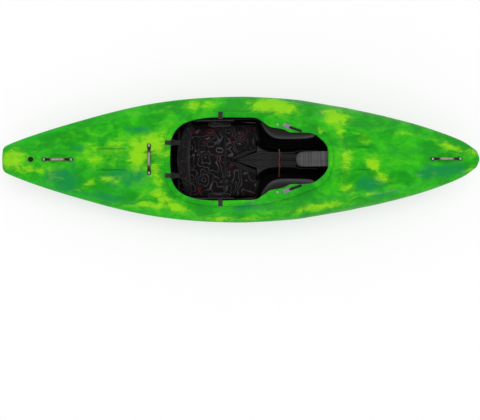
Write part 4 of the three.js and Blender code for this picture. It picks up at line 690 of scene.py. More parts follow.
def build_stage(look):
    """Floor, sky, lamps and the camera straight above, with the kayak in the upper half of the picture."""
    scene = bpy.context.scene
    scene.view_settings.view_transform = "Standard"
    camera = bpy.data.objects.new("camera", bpy.data.cameras.new("camera"))
    scene.collection.objects.link(camera)
    camera.location = (0.0008, -0.26, 6.0)
    camera.data.lens, camera.data.sensor_width = 84.6, 36
    scene.camera = camera

    # Floor: a wide flat sheet half a millimetre below the hull, its squares smaller towards the middle.
    reach, lines, below = 40, 61, -0.0005
    span = np.linspace(-1, 1, lines)
    x, y = np.meshgrid(span * np.abs(span), span * np.abs(span), indexing="ij")
    sheet = np.stack([x * reach, y * reach, np.full_like(x, below)], -1).reshape(-1, 3)
    floor = piece("floor", sheet / MM, grid_faces(lines, lines), None, body=None, weld=0.001, closed=False)
    shader, spot = new_material("floor", roughness=0.9, specular_ior_level=0.1)
    shade = blend(spot.noise(3.0, 3), (0.93, 0.93, 0.93, 1), (0.95, 0.95, 0.95, 1))
    eye, seen = seen_rays(spot.tree)
    plug(shader, {"Base Color": blend(seen, (0.55, 0.55, 0.55, 1), shade)})
    # Part of what the camera sees is plain white, so that the background is white and the shadow stays soft.
    white = put(spot.tree, "ShaderNodeEmission", {"Color": (1, 1, 1, 1), "Strength": 1.0})
    mixed = put(spot.tree, "ShaderNodeMixShader", {0: eye * look.white, 1: Wire(shader), 2: white})
    plug(spot.tree.nodes["Material Output"], {"Surface": mixed})
    floor.data.materials.append(bpy.data.materials["floor_finish"])
    normals_up(floor.data)

    scene.world = bpy.data.worlds.new("studio")
    scene.world.use_nodes = True
    tree = scene.world.node_tree
    tree.nodes.clear()
    _, aside, up = put(tree, "ShaderNodeTexCoord", key="Generated").parts()
    horizon = up.step(0.15, 0.9, 1.0, look.zenith)
    # Two long strip lights along the kayak's sides, for gloss only.
    aside = aside.math("ABSOLUTE")
    strips = aside.step(0.64, 0.7) * aside.step(0.84, 0.78)
    strips = strips * up.step(0.3, 0.45, 0, look.strips)
    horizon = horizon + strips
    _, seen = seen_rays(tree)
    strength = put(tree, "ShaderNodeMix", {0: seen, 2: look.fill, 3: horizon}, data_type="FLOAT")
    back = put(tree, "ShaderNodeBackground", {"Color": (1, 1, 1, 1), "Strength": strength})
    plug(tree.nodes.new("ShaderNodeOutputWorld"), {"Surface": back})

    for name, strength, angle, tilt, turn in (("key", look.key, 40, 14, 150),
                                              ("fill", look.key * 0.3, 70, 50, -30)):
        lamp = bpy.data.lights.new(name, "SUN")
        lamp.energy, lamp.angle = strength, math.radians(angle)
        holder = bpy.data.objects.new(name, lamp)
        holder.rotation_euler = (math.radians(tilt), 0, math.radians(turn))
        # The lamps light colours only. Gloss mirrors the sky and its strips, so that no lamp's disc hazes it.
        holder.visible_glossy = False
        scene.collection.objects.link(holder)


def normals_up(mesh):
    """Turns an open sheet over if most of it faces down."""
    normals = np.zeros(len(mesh.polygons) * 3, np.float32)
    mesh.polygons.foreach_get("normal", normals)
    if normals.reshape(-1, 3)[:, 2].sum() < 0:
        mesh.flip_normals()


# Hull
# Handles and security bar: middle x and the spacing of their bolts. The drain's x. Grooves: first x, last x
# and distance from the middle. Recesses for the footbrace bolts: x places, height, radius and depth.
HANDLES = ((-937.4, 138.8), (1047.5, 139.7))
BAR = (-464.7, 139.5)
DRAIN = -1073.2
GROOVES = ((-747.0, -571.0, 54.0), (573.0, 668.0, 57.0))
RECESS = ((456.0, 501.0), 168.6, 14.0, 2.6)


def dish_share(x, y, middle):
    """Distance from a handle's middle as a share of the finger dish below it: 1 on the dish's edge."""
    half_length, half_width = 46, 31
    return np.hypot((x - middle) / half_length, y / half_width)


def stations():
    """Places along the hull: close at the tips, the cockpit's ends and the fittings, wide elsewhere."""
    tip = LENGTH / 2 - NOSE
    spans = [np.linspace(-tip, tip, 150)]
    for end in (-1, 1):
        spans.append(end * (tip + np.array([-11, -7, -4, -2, 0, 1.2, 2.2, 3, 3.6, 3.9, NOSE])))
    for x, spacing in HANDLES:
        spans.append(np.arange(x - spacing / 2 - 16, x + spacing / 2 + 16, 3.4))
    spans += [np.arange(BAR[0] - 16, BAR[0] + 16, 3.2), np.arange(DRAIN - 22, DRAIN + 22, 3.4),
              np.arange(436, 521, 2.1)]
    for start, stop, _ in GROOVES:
        spans.append(np.array([start - 3, start, start + 4, start + 12, stop - 12, stop - 4, stop, stop + 3]))
    middle, reach = sum(HOLE) / 2, (HOLE[1] - HOLE[0]) / 2
    spans.append(middle - reach * np.cos(np.linspace(0, np.pi, 90)))
    xs = np.unique(np.round(np.concatenate(spans), 3))
    keep = np.concatenate([[True], np.diff(xs) > 0.25])
    return xs[keep | np.isin(xs, np.round([*HOLE, -LENGTH / 2, LENGTH / 2], 3))]


def deck_details(x, y, z):
    """Bosses, finger dishes and grooves, each a smooth bump or hollow on the deck's height."""
    bosses = [(hx + end * spacing / 2, 0, 12.5, 2) for hx, spacing in HANDLES for end in (-1, 1)]
    bosses += [(BAR[0], end * BAR[1] / 2, 12.5, 2) for end in (-1, 1)] + [(DRAIN, 0, 18, 3)]
    for hx, _ in HANDLES:
        share = dish_share(x, y, hx)
        bowl = deck_at(hx, 0) - 9 * np.sqrt(np.clip(1 - share ** 2, 0, 1))
        sunk = np.where(share < 1, np.minimum(z, bowl), z)
        z = z + (sunk - z) * eased(share, 1.0, 0.8)
    for bx, by, radius, rise in bosses:
        away = np.hypot(x - bx, y - by)
        top = deck_at(bx, by) + rise
        z = z + (top - z) * eased(away, radius + 2.2, radius - 0.3)
    for start, stop, at in GROOVES:
        across = np.clip(1 - np.abs(np.abs(y) - at) / 3.4, 0, 1)
        along = eased(x, start, start + 14) * eased(x, stop, stop - 14)
        z = z - 2.6 * np.sin(across * np.pi / 2) * along
    return z


def hull_rings(xs, offsets, rest, low_columns, inset):
    """The ring of points at each station, port side then starboard.

    Deck: from the centre line or the cockpit hole outwards, first at fixed offsets, then by the angle
    whose sine is the share of the half-breadth. Bottom: share = sine of the angle to the power two
    over p, depth = cosine to the power 1.54, from seam to keel.
    """
    half = half_breadth(xs) - inset
    nose = np.sqrt(1 - np.clip((np.abs(xs) - (LENGTH / 2 - NOSE)) / NOSE, 0, 1) ** 2)
    inner = np.minimum(hole_half(xs), half * 0.98)[:, None]
    grow = np.minimum(1, 0.6 * (half[:, None] - inner) / max(offsets[-1], 1))
    first = inner + offsets[None, :] * grow
    start = np.arcsin(np.clip(first[:, -1:] / half[:, None], 0, 1))
    angle = start + (np.pi / 2 - start) * rest[None, :]
    y = np.concatenate([first, half[:, None] * np.sin(angle)], 1)
    x = np.broadcast_to(xs[:, None], y.shape)
    share = np.clip(y / half[:, None], 0, 1)
    z = seam(x) + (deck_line(x) - inset - seam(x)) * np.sqrt(1 - share ** DECK_POWER)
    if inset:
        for hx, _ in HANDLES:
            z = z - 8 * eased(dish_share(x, y, hx), 1.35, 1.02)
    else:
        z = deck_details(x, y, z)
    angle = np.pi / 2 * low_columns[None, :]
    power = bottom_power(xs)[:, None]
    low_y = half[:, None] * np.sin(angle) ** (2 / power)
    low_z = seam(xs)[:, None] - (seam(xs) - keel(xs) - inset)[:, None] * np.cos(angle) ** (2 / BOTTOM_ROOT)
    port_y, port_z = np.concatenate([y, low_y], 1), np.concatenate([z, low_z], 1)
    centre = ((seam(xs) + (deck_line(xs) + keel(xs)) / 2) / 2)[:, None]
    port_y, port_z = port_y * nose[:, None], centre + (port_z - centre) * nose[:, None]
    ring_y = np.concatenate([port_y, -port_y[:, :-1][:, ::-1]], 1)
    ring_z = np.maximum(np.concatenate([port_z, port_z[:, :-1][:, ::-1]], 1), inset)
    return np.stack([np.broadcast_to(xs[:, None], ring_y.shape), ring_y, ring_z], -1)


def build_hull():
    """Hull skin and coaming, both for the hull shell."""
    xs = stations()
    offsets = np.array([*range(0, 34, 3), 37, 42, 47, 50, 51.5, 52.8, 54, 55.2, 56.4, 57.6, 59, 61,
                        *range(65, 82, 4), 86])
    rest = np.linspace(0, 1, 24)[1:]
    low = np.concatenate([np.linspace(1, 0.94, 4)[1:], np.linspace(0.935, 0.8, 26), np.linspace(0.77, 0, 12)])
    outer = hull_rings(xs, offsets, rest, low, 0.0)
    flat = outer.reshape(-1, 3).copy()
    # Round recesses for the footbrace bolts, pushed straight in from the side.
    places, height, radius, depth = RECESS
    for x in places:
        away = np.hypot(flat[:, 0] - x, flat[:, 2] - height)
        push = depth * eased(away, radius + 0.6, radius - 1.4) * (np.abs(flat[:, 1]) > 150)
        flat[:, 1] -= np.sign(flat[:, 1]) * push
    parts = [(flat, grid_faces(*outer.shape[:2]))]
    # The inner skin, a wall's thickness in, between the stations where the tips are solid.
    hollow_from, hollow_to = 0.024, 0.972
    inside = (xs > LENGTH * (hollow_from - 0.5)) & (xs < LENGTH * (hollow_to - 0.5))
    ix = xs[inside]
    inner = hull_rings(ix, np.array([0.0, 30, 60]), np.linspace(0, 1, 9)[1:], np.linspace(1, 0, 14)[1:], WALL)
    parts.append((inner.reshape(-1, 3), grid_faces(*inner.shape[:2])))
    columns, start = outer.shape[1], len(flat)
    in_rows, in_columns = len(ix), inner.shape[1]
    for at in (0, in_rows - 1):
        ring = inner[at]
        pairs = grid_faces(2, in_columns)
        parts.append((np.vstack([ring, np.broadcast_to(ring.mean(0), ring.shape)]), pairs))
    points, faces = joined(parts)
    # The hole's edge joins the two skins.
    first = int(np.argmax(inside))
    at = np.arange(in_rows - 1)
    open_here = (hole_half(ix[at]) > 0) | (hole_half(ix[at + 1]) > 0)
    for column, in_column in ((0, 0), (columns - 1, in_columns - 1)):
        k = at[open_here]
        a, b = (k + first) * columns + column, (k + 1 + first) * columns + column
        c, d = start + (k + 1) * in_columns + in_column, start + k * in_columns + in_column
        faces += np.stack([a, b, c, d], 1).tolist()
    # Points of the inner skin, which the finish paints near black as painted shade.
    painted_inner_shade = np.arange(len(points)) >= start
    piece("hull_skin", points, faces, "hull_plastic", nodes=("hull_shell",), angle=55,
          marks=hull_marks(points, painted_inner_shade))
    build_coaming()


# Patches of the light and the deep resin: x, y, half length, half width, turn in degrees, strength.
LIGHT_PATCHES = np.array([
    [-1178, 0, 62, 78, 0, 1.0], [-1065, -52, 70, 20, -8, 0.75], [-1000, 84, 90, 14, 6, 0.5],
    [-860, 118, 95, 34, 12, 0.5], [-452, 66, 80, 56, 0, 1.1], [-505, 12, 62, 48, 20, 1.1],
    [-430, -58, 30, 62, 30, 0.8], [-408, -118, 26, 26, 0, 0.8], [-665, 30, 120, 70, 0, 0.55],
    [-392, -196, 52, 30, -20, 1.0], [-330, -246, 80, 20, -14, 1.05], [-485, -228, 115, 18, -4, 0.9],
    [-520, -190, 60, 20, -10, 0.5], [-772, -122, 40, 20, 25, 0.85], [-690, -102, 44, 20, 0, 0.95],
    [-835, -156, 40, 8, 10, 0.6], [-365, 262, 70, 24, 8, 0.8], [-250, 280, 90, 22, 4, 0.85],
    [180, 262, 140, 32, -3, 1.0], [75, 285, 70, 20, 0, 0.8], [508, 206, 62, 36, -18, 1.0],
    [618, 100, 38, 24, -12, 0.95], [535, -25, 26, 100, -6, 0.85], [548, -150, 34, 34, 0, 0.95],
    [520, 90, 24, 70, 14, 0.7], [672, -38, 28, 40, 0, 1.0], [712, -98, 58, 26, -14, 1.0],
    [1088, 60, 88, 22, -16, 1.05], [1188, -52, 44, 18, 22, 0.9], [800, 134, 130, 7, -6, 0.6],
    [690, 178, 80, 7, -4, 0.5], [880, -90, 60, 8, 8, 0.4], [375, -246, 140, 22, 8, 1.05],
    [640, -184, 90, 7, 10, 0.7], [-110, -302, 100, 13, 0, 0.9], [40, -306, 60, 12, 0, 0.8],
    [398, 140, 30, 14, -30, 0.9], [-420, 170, 40, 40, 40, 0.45], [250, -215, 90, 10, 6, 0.5],
    [120, -300, 60, 12, 4, 0.6],
])
DEEP_PATCHES = np.array([
    [-905, -95, 90, 55, -14, 1.0], [-935, -158, 60, 22, -18, 0.8], [-845, 62, 46, 16, 0, 0.7],
    [-1010, 30, 60, 22, 0, 0.6], [-600, -92, 105, 38, -4, 0.95], [-505, 148, 64, 18, 0, 0.7],
    [30, -246, 84, 24, 2, 1.0], [425, 226, 36, 20, -10, 0.8], [650, -132, 62, 28, 8, 0.85],
    [1050, -56, 110, 32, 6, 1.15], [1182, 30, 26, 22, 0, 0.9], [760, -170, 90, 18, 12, 0.6],
    [820, 30, 90, 20, 0, 0.5], [-720, -190, 80, 18, -12, 0.6], [-40, 300, 90, 14, 0, 0.7],
    [330, 290, 70, 12, -6, 0.7],
])


def patch_share(points, patches):
    """How far each point lies in a patch: the highest of the patches' bell curves, each on its own axes."""
    turn = np.radians(patches[:, 4])
    dx, dy = points[:, :1] - patches[None, :, 0], points[:, 1:2] - patches[None, :, 1]
    along = (dx * np.cos(turn) + dy * np.sin(turn)) / patches[:, 2]
    across = (dy * np.cos(turn) - dx * np.sin(turn)) / patches[:, 3]
    return (patches[:, 5] * np.exp(-0.55 * (along ** 2 + across ** 2))).max(1)


def hull_marks(points, painted_inner_shade=None):
    """What the hull's finish reads: height above the seam in metres, patches, grooves and the lining."""
    x, y, z = points.T
    groove_shade = np.zeros(len(points))
    for start, stop, at in GROOVES:
        groove_shade += (np.clip(1 - np.abs(np.abs(y) - at) / 4.2, 0, 1) * eased(x, start, start + 24)
                   * eased(x, stop, stop - 24) * (z > seam(x) + 10))
    return {"above_seam": (z - seam(x)) * MM, "light_share": patch_share(points, LIGHT_PATCHES),
            "deep_share": patch_share(points, DEEP_PATCHES), "groove_shade": groove_shade,
            "painted_inner_shade": np.zeros(len(points)) if painted_inner_shade is None else painted_inner_shade}


def build_coaming():
    """Rim plate, skirt, wall and hook lip as one closed profile carried round the cockpit."""
    outer, width = rim_outer, rim_width
    count = len(RIM_SHARES)
    row = RIM_SHARES * 2 * (len(RIM_OUTLINE) - 1)
    row = np.minimum(row, 2 * (len(RIM_OUTLINE) - 1) - row)
    first, last = HOOK_ROWS
    hook = eased(row, first - 0.5, first + 0.3) * eased(row, last + 0.5, last - 0.3)
    plate, edge, lip = RIM["plate"], RIM["edge"], RIM["lip"]
    top_out, top_in = rim_top(outer[:, 0]), rim_top(rim_inner[:, 0])
    at = lambda away: outer + rim_inwards * np.broadcast_to(away, (count,))[:, None]
    top_at = lambda away: rim_top(at(away)[:, 0])
    skirt = np.maximum(top_out - RIM["skirt"], deck_at(outer[:, 0], outer[:, 1]) + RIM["gap"])
    skirt = np.minimum(skirt, top_out - plate - edge)
    wall_out = np.minimum(RIM["flange"], width - 7)
    wall_in = np.minimum(RIM["flange"] + RIM["wall"], width - 0.6)
    deck_out, deck_in = (deck_at(*at(away).T) for away in (wall_out, wall_in))
    level = lambda away: away + 0 * width
    tuck = np.maximum(width - lip, wall_in + 0.2)
    lip_fall = (RIM["hook"] - plate) * hook
    profile = [
        (width, top_in - 2.0), (width - 2.2, top_in), (width * 0.5, (top_in + top_out) / 2 + 0.5),
        (level(edge + 1.2), top_out), (level(0), top_out - edge), (level(0), skirt + 1.5),
        (level(1.5), skirt), (level(lip - 1), skirt), (level(lip), skirt + 1.2),
        (level(lip), top_out - plate - 2), (level(lip + 2), top_at(lip) - plate),
        (wall_out - 3, top_at(wall_out) - plate), (wall_out, top_at(wall_out) - plate - 3),
        (wall_out, deck_out + 3), (wall_out - 4, deck_out - 1.5), (wall_out, deck_out - WALL),
        (wall_in, deck_in - WALL - 1), (wall_in, top_at(wall_in) - plate - 1),
        (tuck, top_at(width) - plate - 0.2), (tuck, top_in - plate - 0.4 - lip_fall),
        (width - 1.0, top_in - plate - 0.6 - lip_fall), (width, top_in - plate + 0.6 - lip_fall),
    ]
    points = corner_cut(np.stack([np.column_stack([at(away), z]) for away, z in profile], 1), 1, closed=True)
    flat, faces = tube(points, closed_run=True)
    piece("cockpit_coaming", flat, faces, "hull_plastic", nodes=("hull_shell",), angle=60,
          marks={**hull_marks(flat), "rim": np.ones(len(flat))})


# Deck fittings
def build_fittings():
    """Handles, security bar, their bolts, and the drain."""
    softened("stern_carry_handle", "stern_grab_handle", "stern_grip", 1.2, 3)
    softened("bow_carry_handle", "bow_grab_handle", "bow_grip", 1.2, 3)
    softened("rear_lock_bar", "rear_security_bar", "bar_grip", 1.4, 3)
    for node in ("stern_handle_bolt_rear", "stern_handle_bolt_front", "bow_handle_bolt_rear",
                 "bow_handle_bolt_front", "security_bar_bolt_left", "security_bar_bolt_right"):
        low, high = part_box(node)
        bolt_piece(node, node.replace("_bolt", "_screw"), (low.x + high.x) / 2, (low.y + high.y) / 2)
    softened("drain_screw_plug", "drain_plug", "black_plastic", 0.7, body="drain_screw")
    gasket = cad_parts["drain_gasket"].data.materials
    gasket.clear()
    gasket.append(bpy.data.materials["seal_rubber_finish"])
    softened("drain_thread_insert", "drain_insert", "black_plastic", 0.5)


def bolt_piece(node, name, x, y):
    """A pan-head bolt: a profile turned about the upright axis, its socket's rings drawn to six sides."""
    shank, head, rise, steps = 3.0, 6.2, 4.2, 36
    low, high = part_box(node)
    foot = rise - (high.z - low.z) / MM
    profile = np.array([
        [0.01, foot], [shank * 0.8, foot], [shank, foot + 0.8], [shank, -0.3], [head, 0],
        [head, rise * 0.25], [head * 0.97, rise * 0.5], [head * 0.86, rise * 0.78],
        [head * 0.62, rise * 0.97], [head * 0.5, rise], [2.75, rise], [2.6, rise - 0.25],
        [2.5, rise - 2.2], [0.01, rise - 2.4],
    ])
    socket = slice(10, 13)
    turn = np.linspace(0, 2 * np.pi, steps, endpoint=False)
    radius, height = profile[:, :1], np.broadcast_to(profile[:, 1:], (len(profile), steps))
    rings = np.stack([radius * np.cos(turn), radius * np.sin(turn), height], -1)
    hexagon = math.cos(math.pi / 6) / np.cos((turn % (np.pi / 3)) - np.pi / 6) * 1.08
    rings[socket, :, :2] *= hexagon[None, :, None]
    rings[..., 2] -= rise
    flat, faces = tube(rings + np.array([x, y, high.z]) / MM)
    piece(name, flat, faces, "bolt_steel", nodes=(node,))


# Seat and console
SEAT = {"rear": -330.0, "front": 107.0, "half": 196.0, "wing": 240.0, "lip": 14.0, "lean": 1.6, "dish": 4.0,
        "slope": 0.137}
# Share of the length from the rear, seat height, half width, wing top and foot, as shares.
SEAT_ROWS = np.array([
    [0, 0.242, 1, 0.333, 1.12], [0.151, 0.242, 1, 0.383, 1.14], [0.172, 0.242, 1, 0.42, 1.14],
    [0.206, 0.242, 1, 0.786, 1.14], [0.4, 0.242, 1, 0.834, 1.14], [0.575, 0.242, 1, 0.878, 1.14],
    [0.68, 0.266, 1, 0.902, 1.14], [0.735, 0.283, 1, 0.52, 1.14], [0.85, 0.308, 0.99, 0.4, 1.13],
    [0.945, 0.325, 0.98, 0.383, 1.12], [0.98, 0.315, 0.62, 0.36, 0.75], [1, 0.3, 0.3, 0.33, 0.4],
])
CONSOLE = {"rear": -38.0, "front": 405.0, "width": 51.0, "height": 194.0, "rail": 9.0, "draft": 12.0,
           "ridge": 3.0}
# Share of the length from the rear, half width, top, depth of the channels, knee and foot, as shares.
CONSOLE_ROWS = np.array([
    [0, 0.08, 0.34, 0, 0.32, 0.3], [0.065, 0.18, 0.44, 0.012, 0.33, 0.42],
    [0.18, 0.49, 0.59, 0.04, 0.34, 0.8], [0.275, 0.76, 0.69, 0.065, 0.35, 1.1],
    [0.325, 0.84, 0.75, 0.08, 0.34, 1.22], [0.4, 0.81, 0.825, 0.093, 0.28, 1.3],
    [0.49, 0.79, 0.887, 0.093, 0.2, 1.35], [0.63, 0.79, 0.928, 0.093, 0.155, 1.4],
    [0.725, 0.83, 0.949, 0.093, 0.155, 1.4], [0.77, 0.95, 0.96, 0.093, 0.155, 1.5],
    [0.8, 0.97, 0.969, 0.093, 0.155, 1.52], [1, 1, 1, 0.093, 0.165, 1.55],
])
seat_lines = [smooth_line(SEAT_ROWS, c) for c in (1, 2, 3, 4)]
console_lines = [smooth_line(CONSOLE_ROWS, c) for c in (1, 2, 3, 4, 5)]


def wing_level(x):
    """Height of the seat's wings along their straight slope."""
    share, _, _, rise, _ = SEAT_ROWS[3]
    return rise * SEAT["wing"] + (x - SEAT["rear"] - share * (SEAT["front"] - SEAT["rear"])) * SEAT["slope"]


def seat_at(x):
    """Seat height, half width, wing top and foot half width at x."""
    share = (np.asarray(x, float) - SEAT["rear"]) / (SEAT["front"] - SEAT["rear"])
    height, half, wing, foot = (line(share) for line in seat_lines)
    wing = np.minimum(wing * SEAT["wing"], wing_level(x))
    return height * SEAT["wing"], half * SEAT["half"], wing, foot * SEAT["half"]


def console_at(x):
    share = (np.asarray(x, float) - CONSOLE["rear"]) / (CONSOLE["front"] - CONSOLE["rear"])
    half, top, channel, knee, foot = (line(share) for line in console_lines)
    return (half * CONSOLE["width"], top * CONSOLE["height"], (top - channel) * CONSOLE["height"],
            knee * CONSOLE["height"], foot * CONSOLE["width"])


def above_floor(x, y, z, gap=0.6):
    """Keeps a height above the hull's inner skin."""
    return np.maximum(z, bottom_at(x, np.minimum(np.abs(y), half_breadth(x) - WALL)) + WALL + gap)


def sheet_of(x, rows):
    """An open sheet from half sections: mirrored, corners rounded, and kept off the hull's floor."""
    section = np.stack([np.stack(np.broadcast_arrays(y, z), 1) for y, z in rows], 1)
    full = corner_cut(np.concatenate([section[:, ::-1] * [-1, 1], section], 1), 2)
    y, z = full[..., 0], full[..., 1]
    xs = np.broadcast_to(x[:, None], y.shape)
    return np.stack([xs, y, above_floor(xs, y, z)], -1)


def places(*spans):
    """Several even runs of numbers, each given by its ends and count, as one rising list."""
    return np.unique(np.concatenate([np.linspace(*span) for span in spans]))


def build_seat(sizes):
    """Seat, console and the console's two shoulders, each a sheet with a wall."""
    x = places((SEAT["rear"], SEAT["front"], 110), (-252, -236, 12), (-35, -2, 14), (80, 107, 16))
    height, half, wing, foot = seat_at(x)
    dish, lip = SEAT["dish"], SEAT["lip"]
    below = -10
    rows = [(half / 4, height), (half / 2, height - dish), (half - 26, height - 1),
            (half - SEAT["lean"] - 3, height + 1), (half - SEAT["lean"] + 0.5, height + 10),
            (half - 0.4, np.maximum(wing - 7, height + 4)), (half + 1.5, wing), (half + lip - 1.5, wing),
            (half + lip + 0.8, wing - 7), (foot, below)]
    shell(sheet_of(x, rows), "seat_moulding", sizes.wall)
    x = places((CONSOLE["rear"], CONSOLE["front"], 130), (270, 330, 24))
    half, top, floor, knee, foot = console_at(x)
    squeeze = np.minimum(half / 30, 1)
    inside = half - CONSOLE["rail"] * squeeze
    ridge, draft = CONSOLE["ridge"] * squeeze, CONSOLE["draft"] * squeeze
    crest = floor + np.minimum(4.0, top - floor)
    rows = [
        (ridge / 2, crest), (ridge, crest), (5.4 * squeeze, floor), (inside - 6 * squeeze, floor),
        (inside - 1.6 * squeeze, floor + (top - floor) * 0.12), (inside, top - (top - floor) * 0.2),
        (inside + 2.0 * squeeze, top), (half - 1.6 * squeeze, top),
        (half + 0.8 * squeeze, top - 3.0 * squeeze), (half + draft * 0.8, knee * 0.35 + top * 0.65),
        (half + draft, knee), (foot, below),
    ]
    shell(sheet_of(x, rows), "console_moulding", sizes.wall)
    # Shoulders: off each rail a quarter ellipse, wide at the pad and narrow forwards, then a concave foot.
    share, turn = np.meshgrid(np.linspace(0, 1, 48), np.linspace(0, 1, 40), indexing="ij")
    start, long, fade, drop, over = 88.5, 150, 38, 38, 0.6
    x = start + long * share ** 1.4
    half, top = console_at(x)[:2]
    reach = 4 + 66 * np.exp(-(x - start) / fade)
    bend = np.clip(turn / over, 0, 1) * np.pi / 2
    fall = np.clip((turn - over) / 0.4, 0, 1)
    low = bottom_at(x, half + reach) + WALL + 6
    shoulder = np.maximum(top - 5 - (1 - np.cos(bend)) * drop, low)
    y = half - 3 + reach * np.sin(bend) + 16 * fall ** 2
    z = shoulder + (low - shoulder) * (1 - (1 - fall) ** 2) * (fall > 0)
    z[0] = np.minimum(z[0], 84)
    for word, side in SIDES:
        sheet = np.stack([x, side * y, above_floor(x, y, z, 4.0)], -1)
        shell(sheet, f"console_shoulder_{word}", sizes.wall)


def shell(points, name, wall):
    """A sheet given its wall by Solidify, on the side away from the seat's face."""
    made = piece(name, points.reshape(-1, 3), grid_faces(*points.shape[:2]), "seat_plastic",
                 nodes=("seat_pan",), angle=50, closed=False, weld=0.05)
    normals_up(made.data)
    solid = made.modifiers.new("wall", "SOLIDIFY")
    solid.thickness, solid.offset = wall, -1


# Padded fabric
def cushion_rings(x, middle_y, middle_z, half_y, half_z, sides=28):
    """Rings of a softly squared oval: cosine and sine each to the power of the squareness, sign kept."""
    angle = np.linspace(0, 2 * np.pi, sides, endpoint=False)
    square = 0.55
    c, s = (np.sign(wave) * np.abs(wave) ** square for wave in (np.cos(angle), np.sin(angle)))
    grow = lambda value: np.broadcast_to(np.asarray(value, float), x.shape)[:, None]
    return np.stack([np.broadcast_to(x[:, None], (len(x), sides)), grow(middle_y) + grow(half_y) * c,
                     grow(middle_z) + grow(half_z) * s], -1)


def cosine_steps(low, high, count):
    return low + (high - low) * (1 - np.cos(np.linspace(0, np.pi, count))) / 2


def puffed(name, node, parts, finish, pressure, ceiling, keep, cap, body="hull", voxel=5, reach=None):
    """Padded fabric: closed forms joined by a voxel remesh, swollen by cloth pressure, movement capped.

    ceiling(points) returns points kept inside the space the pad has, and keep is how often the form is
    smoothed first. Smoothing draws a pad in, so reach, its lowest and highest x and y, stretches it back:
    each place moves in proportion.
    """
    flat, faces = joined([tube(part) for part in parts])
    made = piece(name, flat, faces, finish, body, (node,), angle=180)
    bpy.context.view_layer.objects.active = made
    made.data.remesh_voxel_size = voxel * MM
    made.data.remesh_voxel_adaptivity = 0
    with bpy.context.temp_override(object=made, active_object=made, selected_objects=[made]):
        bpy.ops.object.voxel_remesh()
    smooth = made.modifiers.new("even", "SMOOTH")
    smooth.factor, smooth.iterations = 0.5, keep
    freeze(made)
    start = points_of(made.data)
    cloth = made.modifiers.new("cloth", "CLOTH")
    cloth.settings.use_pressure = True
    cloth.settings.uniform_pressure_force = pressure
    cloth.settings.effector_weights.gravity = 0
    cloth.settings.quality = 5
    cloth.settings.tension_stiffness = cloth.settings.compression_stiffness = 12
    frames = 20
    cloth.point_cache.frame_start, cloth.point_cache.frame_end = 1, frames
    scene = bpy.context.scene
    for step in range(1, frames + 1):
        scene.frame_set(step)
    end = points_of(made.evaluated_get(bpy.context.evaluated_depsgraph_get()).data)
    made.modifiers.remove(cloth)
    scene.frame_set(1)
    move = end - start
    far = np.linalg.norm(move, axis=1)
    move *= (np.minimum(far, cap * MM) / np.maximum(far, 1e-9))[:, None]
    set_points(made.data, ceiling((start + move) / MM) * MM)
    smooth = made.modifiers.new("even", "SMOOTH")
    smooth.factor, smooth.iterations = 0.5, 2
    subdivide = made.modifiers.new("fine", "SUBSURF")
    subdivide.levels = subdivide.render_levels = 1
    freeze(made)
    if reach is not None:
        points, (low, high) = points_of(made.data) / MM, np.array(reach, float)
        least, most = points[:, :2].min(0), points[:, :2].max(0)
        points[:, :2] = low + (points[:, :2] - least) * (high - low) / (most - least)
        set_points(made.data, ceiling(points) * MM)
    return made


def freeze(made):
    """Applies the modifiers by taking the evaluated mesh as the piece's own."""
    mesh = bpy.data.meshes.new_from_object(made.evaluated_get(bpy.context.evaluated_depsgraph_get()))
    made.modifiers.clear()
    made.data = mesh
    mesh.shade_smooth()


def read_rows(collection, key):
    """Three numbers of each item in a collection, as whole rows."""
    values = np.zeros(len(collection) * 3, np.float32)
    collection.foreach_get(key, values)
    return values.reshape(-1, 3).astype(float)


def points_of(mesh):
    return read_rows(mesh.vertices, "co")


def normals_of(mesh):
    return read_rows(mesh.vertex_normals, "vector")


def set_points(mesh, points):
    mesh.vertices.foreach_set("co", np.asarray(points, np.float32).ravel())
    mesh.update()


def inside_box(low, high):
    """A limit that keeps points in a box."""
    return lambda points: np.clip(points, low, high)


